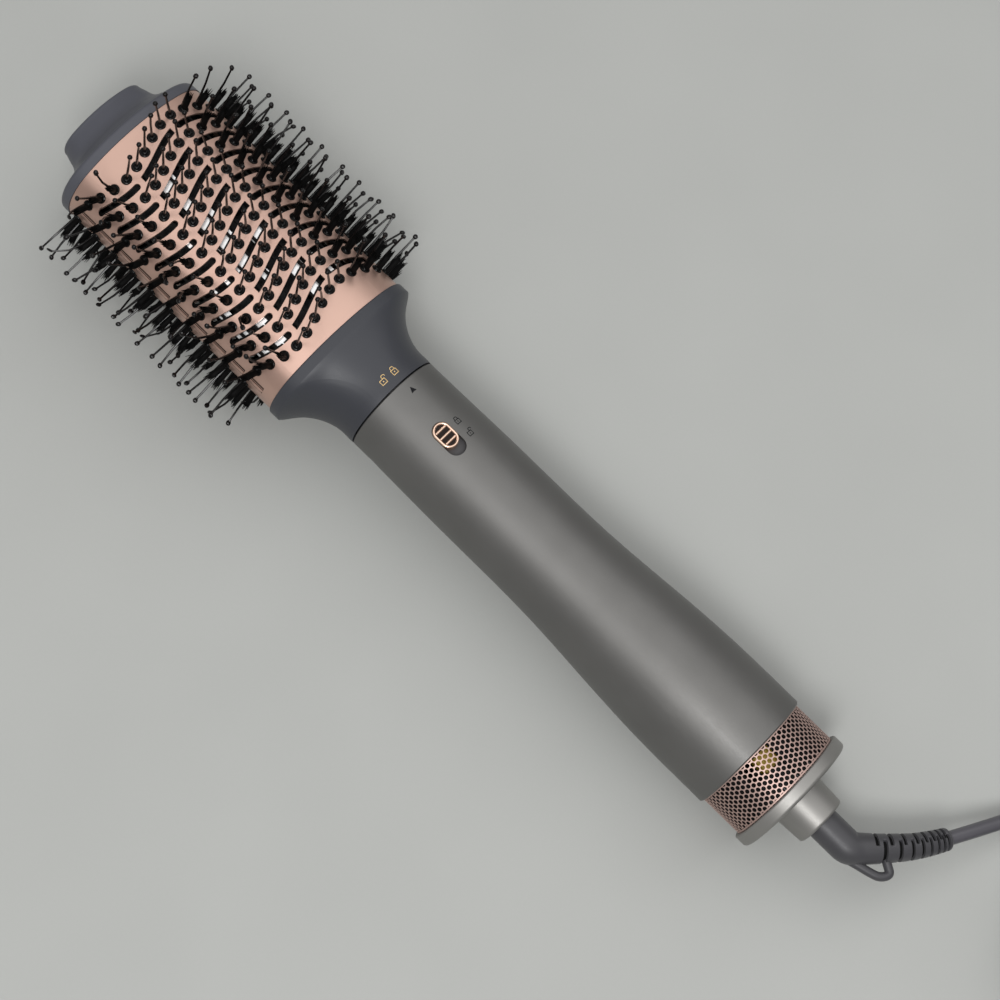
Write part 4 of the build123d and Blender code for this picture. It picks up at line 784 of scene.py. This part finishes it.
def make_grille_shade_staves():
    shade_staves = Shape()
    half = radians(CAGE_STAVE / 2)
    for stave in range(CAGE_COUNT):
        middle = 2 * pi * (stave + 0.5) / CAGE_COUNT
        opens = CAGE_WINDOW[0] < degrees(atan2(sin(middle), cos(middle))) < CAGE_WINDOW[1]
        start = GRILLE_START + CAGE_OPENING if opens else GRILLE_START
        angles = [middle + half * share for share in (-1, -0.5, 0, 0.5, 1)]
        outline = [(CAGE_RADIUS, angle) for angle in angles]
        outline += [(CAGE_RADIUS - CAGE_THICK, angle) for angle in reversed(angles)]
        shade_staves.loft([shade_staves.ring([around_grille(*place, s) for place in outline]) for s in (start, CAGE_END)])
    # Painted shade: near-black staves that darken the grille's holes
    shade_staves.piece("grille_shade_staves", "carrier_black_and_painted_shade", "handle", "dark_nylon", sharp=30.0)


# Strain relief: its line, in the brush's own frame, is the one that the cord leaves by.
RELIEF_START = 194.2
RELIEF_ELBOW = 216.0
RELIEF_RUNS = ((11.6, 44.5, 2), (14.6, 48.5, 6), (10.5, 60.5, 13))
RELIEF_RADIUS = 5.95
RELIEF_SIDES = 56
RELIEF_STEP = 0.2
ELBOW_REACH = 4.6
BLEND_START = -2.0
BLEND_RUN = 6.0
BOOT_RADII = (5.55, 3.95)
BOOT_ROUND = 0.9
LONG_SLOTS = (11.0, 16.5, 20.8, 24.4, 27.5, 30.3, 32.5, 34.4)
SHORT_SLOTS = (8.3, 13.4, 18.2, 22.7, 26.1, 29.0, 31.5, 33.6)
SLOT_SIDES = ((LONG_SLOTS, 0.0, 0.55), (SHORT_SLOTS, pi, -0.12))
SLOT_HALF_WIDTHS = (0.78, 0.40)
SLOT_DEPTH = 3.0
SLOT_EDGE = 0.2
SLOT_FLOOR = 2.3
# Painted shade in the boot's slots: a near-black sleeve under its skin, that shows in the slot floors
RELIEF_SHADE_SPAN = (6.0, 1.0)
RELIEF_SHADE_COVER = 0.9
RELIEF_SHADE_SIDES = 24
LOOP_ROUTE = ((-1.0, -3.4), (3.0, -5.6), (6.8, -7.9), (10.4, -9.6), (14.0, -8.7), (13.4, -6.2), (12.6, -3.0))
LOOP_HALF = (1.65, 1.6)
LOOP_STEP = 0.4
LOOP_SIDES = 16
HELPER_STEPS = 24


def relief_way(yaw, fall):
    yaw, fall = radians(yaw), radians(fall)
    return Vector((sin(yaw) * cos(fall), -sin(fall), cos(yaw) * cos(fall)))


def smooth_points(points):
    """Points along the smooth curve that has the given points as its control points."""
    helper = spline_curve("helper", points, 0.0)
    curve = helper.data
    curve.resolution_u = HELPER_STEPS
    curve.splines[0].resolution_u = HELPER_STEPS
    mesh = bpy.data.meshes.new_from_object(helper)
    line = [vertex.co.copy() for vertex in mesh.vertices]
    bpy.data.objects.remove(helper)
    bpy.data.curves.remove(curve)
    bpy.data.meshes.remove(mesh)
    return line


def spaced(line, gap):
    """The same line with a point at every gap along it."""
    points, left = [line[0]], gap
    for first, second in zip(line, line[1:]):
        run = (second - first).length
        while run >= left:
            first = first.lerp(second, left / run)
            points.append(first)
            run = (second - first).length
            left = gap
        left -= run
    return points


def frames_along(line, start_across):
    """A way along and a way across at each point, carried along without twist."""
    across = start_across
    made = []
    for step, point in enumerate(line):
        before = line[max(step - 1, 0)]
        after = line[min(step + 1, len(line) - 1)]
        forward = (after - before).normalized()
        across = (across - forward * across.dot(forward)).normalized()
        made.append((point, across, forward.cross(across)))
    return made


def clamped(value):
    return min(max(value, 0.0), 1.0)


def slot_depth(along, angle, end):
    """How deep the boot is cut: long slots from one side, and short ones between them from the other."""
    half_width = SLOT_HALF_WIDTHS[0] + (SLOT_HALF_WIDTHS[1] - SLOT_HALF_WIDTHS[0]) * along / end
    deepest = 0.0
    for slots, middle, reach in SLOT_SIDES:
        across = min(abs(along - slot) for slot in slots) / half_width
        side = clamped((cos(angle - middle) + reach) / SLOT_EDGE)
        deepest = max(deepest, SLOT_DEPTH * max(0.0, 1 - across**4) * side)
    return deepest


def relief_radius(along, end):
    """The relief's outer radius past its elbow: the neck, then the boot's taper and its rounded end."""
    blend = clamped((along - BLEND_START) / BLEND_RUN)
    blend = blend * blend * (3 - 2 * blend)
    taper = BOOT_RADII[0] + (BOOT_RADII[1] - BOOT_RADII[0]) * clamped(along / end)
    radius = RELIEF_RADIUS + (taper - RELIEF_RADIUS) * blend
    left = end - along
    if left < BOOT_ROUND:
        radius -= BOOT_ROUND - sqrt(BOOT_ROUND**2 - (BOOT_ROUND - left) ** 2)
    return radius


def relief_points():
    """The relief's straight neck, its elbow and its runs, as control points of a smooth curve."""
    elbow = Vector((0, 0, RELIEF_ELBOW))
    points = [Vector((0, 0, RELIEF_START)), Vector((0, 0, RELIEF_ELBOW - ELBOW_REACH)), elbow]
    points.append(elbow + relief_way(*RELIEF_RUNS[0][1:]) * ELBOW_REACH)
    corner = elbow
    for run, yaw, fall in RELIEF_RUNS:
        corner = corner + relief_way(yaw, fall) * run
        points.append(corner)
    return [placed(*point) for point in points]


def make_strain_relief():
    line = spaced(smooth_points(relief_points()), RELIEF_STEP * MM)
    neck = RELIEF_ELBOW - RELIEF_START
    end = RELIEF_STEP * (len(line) - 1) - neck
    boot = Shape()
    core = Shape()
    boot_rings = []
    slot_shade_rings = []
    turns = [2 * pi * side / RELIEF_SIDES for side in range(RELIEF_SIDES)]
    for step, (point, across, over) in enumerate(frames_along(line, -way(1, 0))):
        along = RELIEF_STEP * step - neck
        radius = relief_radius(along, end)
        ring = []
        for turn in turns:
            depth = min(slot_depth(along, turn, end), radius - SLOT_FLOOR)
            ring.append(point + (across * cos(turn) + over * sin(turn)) * ((radius - depth) * MM))
        boot_rings.append(boot.ring(ring))
        if RELIEF_SHADE_SPAN[0] < along < end - RELIEF_SHADE_SPAN[1]:
            inner = (radius - RELIEF_SHADE_COVER) * MM
            slot_shade_rings.append(core.ring(circle(point, across, over, inner, RELIEF_SHADE_SIDES)))
    boot.loft(boot_rings)
    made = boot.piece("strain_relief_boot", "relief_rubber", "handle", "relief_rubber", sharp=50.0)
    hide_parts("strain_relief")
    # Painted shade: the near-black sleeve shows where the slots cut through to it
    core.loft(slot_shade_rings)
    core.piece("strain_relief_slot_shade", "carrier_black_and_painted_shade", "handle", "relief_rubber", sharp=50.0)


def make_hanging_loop():
    """A round strap that leaves the elbow and comes back to the boot."""
    forward = relief_way(*RELIEF_RUNS[0][1:])
    down = forward.cross(Vector((0, 1, 0)))
    elbow = Vector((0, 0, RELIEF_ELBOW))
    route = [placed(*(elbow + forward * u - down * v)) for u, v in LOOP_ROUTE]
    wide, thick = LOOP_HALF
    turns = [2 * pi * side / LOOP_SIDES for side in range(LOOP_SIDES)]
    loop = Shape()
    rings = []
    for point, across, over in frames_along(spaced(smooth_points(route), LOOP_STEP * MM), UPWARD):
        rings.append(loop.ring([
            point + (across * (cos(turn) * wide) + over * (sin(turn) * thick)) * MM for turn in turns
        ]))
    loop.loft(rings)
    loop.piece("hanging_loop", "relief_rubber", "handle", "relief_rubber", sharp=50.0)


# Release button: a gold rim and three cross ribs over a dark field. Levels give inset and height.
BUTTON_STATION = 23.45
BUTTON_LENGTH = 10.1
BUTTON_WIDTH = 6.8
BUTTON_SIDES = 48
BUTTON_FOOT = 16.7
BUTTON_TOP = 19.75
BUTTON_LEVELS = (
    (0.0, BUTTON_FOOT), (0.0, BUTTON_TOP - 0.55), (0.10, BUTTON_TOP - 0.22), (0.34, BUTTON_TOP - 0.03),
    (0.55, BUTTON_TOP), (0.76, BUTTON_TOP - 0.05), (0.95, BUTTON_TOP - 0.25), (1.0, BUTTON_TOP - 0.75),
)
FIELD_LEVELS = ((1.02, BUTTON_TOP - 0.85), (1.02, BUTTON_TOP - 0.62))

# Each rib's place along the button and its half length, and the section of all
RIBS = ((-2.4, 2.25), (0.0, 2.5), (2.4, 2.25))
RIB_SECTION = (
    (-0.48, -0.75), (-0.44, -0.32), (-0.26, -0.12), (0, -0.06), (0.26, -0.12), (0.44, -0.32), (0.48, -0.75),
)


def stadium(inset, y):
    radius = BUTTON_WIDTH / 2 - inset
    half = (BUTTON_LENGTH - BUTTON_WIDTH) / 2
    points = []
    for step in range(BUTTON_SIDES):
        angle = 2 * pi * (step + 0.5) / BUTTON_SIDES
        shift = half if sin(angle) > 0 else -half
        points.append(placed(radius * cos(angle), y, BUTTON_STATION + shift + radius * sin(angle)))
    return points


def make_button():
    rim_shape, field, ribs = Shape(), Shape(), Shape()
    rim_shape.loft([rim_shape.ring(stadium(inset, y)) for inset, y in BUTTON_LEVELS][::-1])
    button = rim_shape.piece("release_button_rim", "rose_gold_trim", "release", "rose_gold_trim", sharp=40.0)
    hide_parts("release_button")
    field.loft([field.ring(stadium(inset, y)) for inset, y in FIELD_LEVELS][::-1])
    field.piece("release_button_field", "button_fill_and_seam_shade", "release", "rose_gold_trim")
    for offset, reach in RIBS:
        line = [(BUTTON_TOP + rise, BUTTON_STATION + offset + along) for along, rise in RIB_SECTION]
        ribs.loft([ribs.ring([placed(x, y, s) for y, s in line]) for x in (-reach, reach)])
    ribs.piece("release_button_ribs", "rose_gold_trim", "release", "rose_gold_trim", sharp=40.0)


# Printed signs: closed and open padlocks and an arrow, as thin raised ink that follows the surface
INK = 0.04
SIGN_RADIUS = 19.0
SIGN_FAR = 40
MITER_LEAST = 0.4
SHACKLE_SWING = 0.80
SHACKLE_HALF = 0.52
SHACKLE_FOOT = 0.2
SHACKLE_FREE = 0.5
LOCK_BODY = ((-0.8, -1.1), (0.8, -1.1), (0.8, 0.2), (-0.8, 0.2))
SHACKLE_ARC = ((0.52, 0.7), (0.44, 0.92), (0.25, 1.02), (-0.25, 1.02), (-0.44, 0.92), (-0.52, 0.7))
KEYHOLE = ((0.0, -0.26), (0.0, -0.62))
KEYHOLE_STROKE = 0.28
ARROW = ((-0.42, -0.45), (0.42, -0.45), (0.0, 0.42))
ARROW_STROKE = 0.62

# Signs: name, open or closed, and angle around the axis on the collar, or station on the handle
COLLAR_SIGNS = (("collar_lock", False, 11.0), ("collar_unlock", True, -5.0))
COLLAR_STATION = -4.8
COLLAR_SCALE = 1.35
COLLAR_STROKE = 0.16
HANDLE_SIGNS = (("button_lock", False, 22.2), ("button_unlock", True, 28.0))
HANDLE_ANGLE = 20.8
HANDLE_SCALE = 1.2
HANDLE_STROKE = 0.22
ARROW_ANGLE = 10.6
ARROW_STATION = 4.5


def ink(name, outlines, node, angle, s, scale, material, body, slot):
    """Strokes, first across and then towards the head, laid on a node's surface."""
    surface = cad_nodes[node].data
    tree = BVHTree.FromPolygons(
        [vertex.co for vertex in surface.vertices], [tuple(face.vertices) for face in surface.polygons]
    )
    shape = Shape()

    def laid(u, v, height):
        turn = radians(angle) + u * scale / SIGN_RADIUS
        out = way(sin(turn), cos(turn))
        start = placed(SIGN_FAR * sin(turn), SIGN_FAR * cos(turn), s - v * scale)
        hit = tree.ray_cast(start, -out)[0]
        return hit + out * (height * MM)

    for points, width, closed in outlines:
        count = len(points)
        left, right = [], []
        for step, (u, v) in enumerate(points):
            before = points[(step - 1) % count] if closed or step else points[step]
            after = points[(step + 1) % count] if closed or step < count - 1 else points[step]
            du, dv = after[0] - before[0], after[1] - before[1]
            length = hypot(du, dv)
            first = Vector((u - before[0], v - before[1]))
            second = Vector((after[0] - u, after[1] - v))
            miter = 1.0
            if first.length and second.length:
                miter = 1 / max(cos(first.angle(second) / 2), MITER_LEAST)
            reach = width / 2 * miter
            left.append((u - dv / length * reach, v + du / length * reach))
            right.append((u + dv / length * reach, v - du / length * reach))
        rows = [
            shape.ring([laid(u, v, height) for u, v in line])
            for line, height in ((left, INK), (right, INK), (right, -INK), (left, -INK))
        ]
        for first, second in zip(rows, rows[1:] + rows[:1]):
            shape.join(first, second, closed)
        if not closed:
            for end, outward in ((0, False), (-1, True)):
                shape.cap([row[end] for row in rows], outward)
    shape.piece(name, material, body, slot, sharp=60.0)


def padlock(is_open, stroke):
    """A body, a shackle and a keyhole; the open one's shackle stands beside the body."""
    swing = SHACKLE_SWING if is_open else 0.0
    shackle = [(swing + SHACKLE_HALF, SHACKLE_FREE if is_open else SHACKLE_FOOT)]
    shackle += [(swing + across, along) for across, along in SHACKLE_ARC]
    shackle.append((swing - SHACKLE_HALF, SHACKLE_FOOT))
    return [(LOCK_BODY, stroke, True), (shackle, stroke, False), (KEYHOLE, KEYHOLE_STROKE, False)]


def make_signs():
    on_collar = (COLLAR_SCALE, "print_gold", "head", "slate_plastic")
    for name, is_open, angle in COLLAR_SIGNS:
        ink(name, padlock(is_open, COLLAR_STROKE), "neck_collar", angle, COLLAR_STATION, *on_collar)
    on_handle = (HANDLE_SCALE, "print_dark", "handle", "gunmetal_paint")
    for name, is_open, s in HANDLE_SIGNS:
        ink(name, padlock(is_open, HANDLE_STROKE), "handle_sleeve", HANDLE_ANGLE, s, *on_handle)
    arrow = [(ARROW, ARROW_STROKE, True)]
    ink("seam_arrow", arrow, "handle_sleeve", ARROW_ANGLE, ARROW_STATION, *on_handle)


# Floor, world and lamps
WORLD_COLOUR = (0.97, 0.97, 0.97, 1)
WORLD_STRENGTH = 0.30
FLOOR_REACH = 4.0

# Each lamp's name, place, sizes and power, and whether it is aimed at the brush
LAMPS = (
    ("overhead", (0.05, 0.22, 1.25), 1.3, 2.8, 15.0, False),
    ("key", (0.45, -0.62, 1.25), 0.4, 0.4, 8.0, True),
)


def make_studio():
    world = bpy.data.worlds.new("studio")
    bpy.context.scene.world = world
    world.use_nodes = True
    background = world.node_tree.nodes["Background"]
    background.inputs["Color"].default_value = WORLD_COLOUR
    background.inputs["Strength"].default_value = WORLD_STRENGTH
    floor_mesh = bpy.data.meshes.new("floor")
    corners = [(FLOOR_REACH * x, FLOOR_REACH * y, 0) for x, y in ((-1, -1), (1, -1), (1, 1), (-1, 1))]
    floor_mesh.from_pydata(corners, [], [(0, 1, 2, 3)])
    floor = bpy.data.objects.new("floor", floor_mesh)
    bpy.context.scene.collection.objects.link(floor)
    floor_mesh.materials.append(MATERIALS["floor_paper"])
    floor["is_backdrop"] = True
    for name, place, size_x, size_y, power, is_aimed in LAMPS:
        data = bpy.data.lights.new(name, "AREA")
        data.shape = "RECTANGLE"
        data.size = size_x
        data.size_y = size_y
        data.energy = power
        lamp = bpy.data.objects.new(name, data)
        bpy.context.scene.collection.objects.link(lamp)
        lamp.location = place
        if is_aimed:
            lamp.rotation_mode = "QUATERNION"
            lamp.rotation_quaternion = (-Vector(place)).to_track_quat("-Z", "Y")
    bpy.context.scene.view_settings.view_transform = "Standard"


make_camera()
make_studio()
dress_cad_nodes()
make_cord()
make_head()
make_seam()
make_grille_sheet()
make_grille_rims()
make_grille_shade_staves()
make_strain_relief()
make_hanging_loop()
make_button()
make_signs()

visual_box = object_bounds()
[[list(corner) for corner in box] for box in (cad_box, visual_box)]
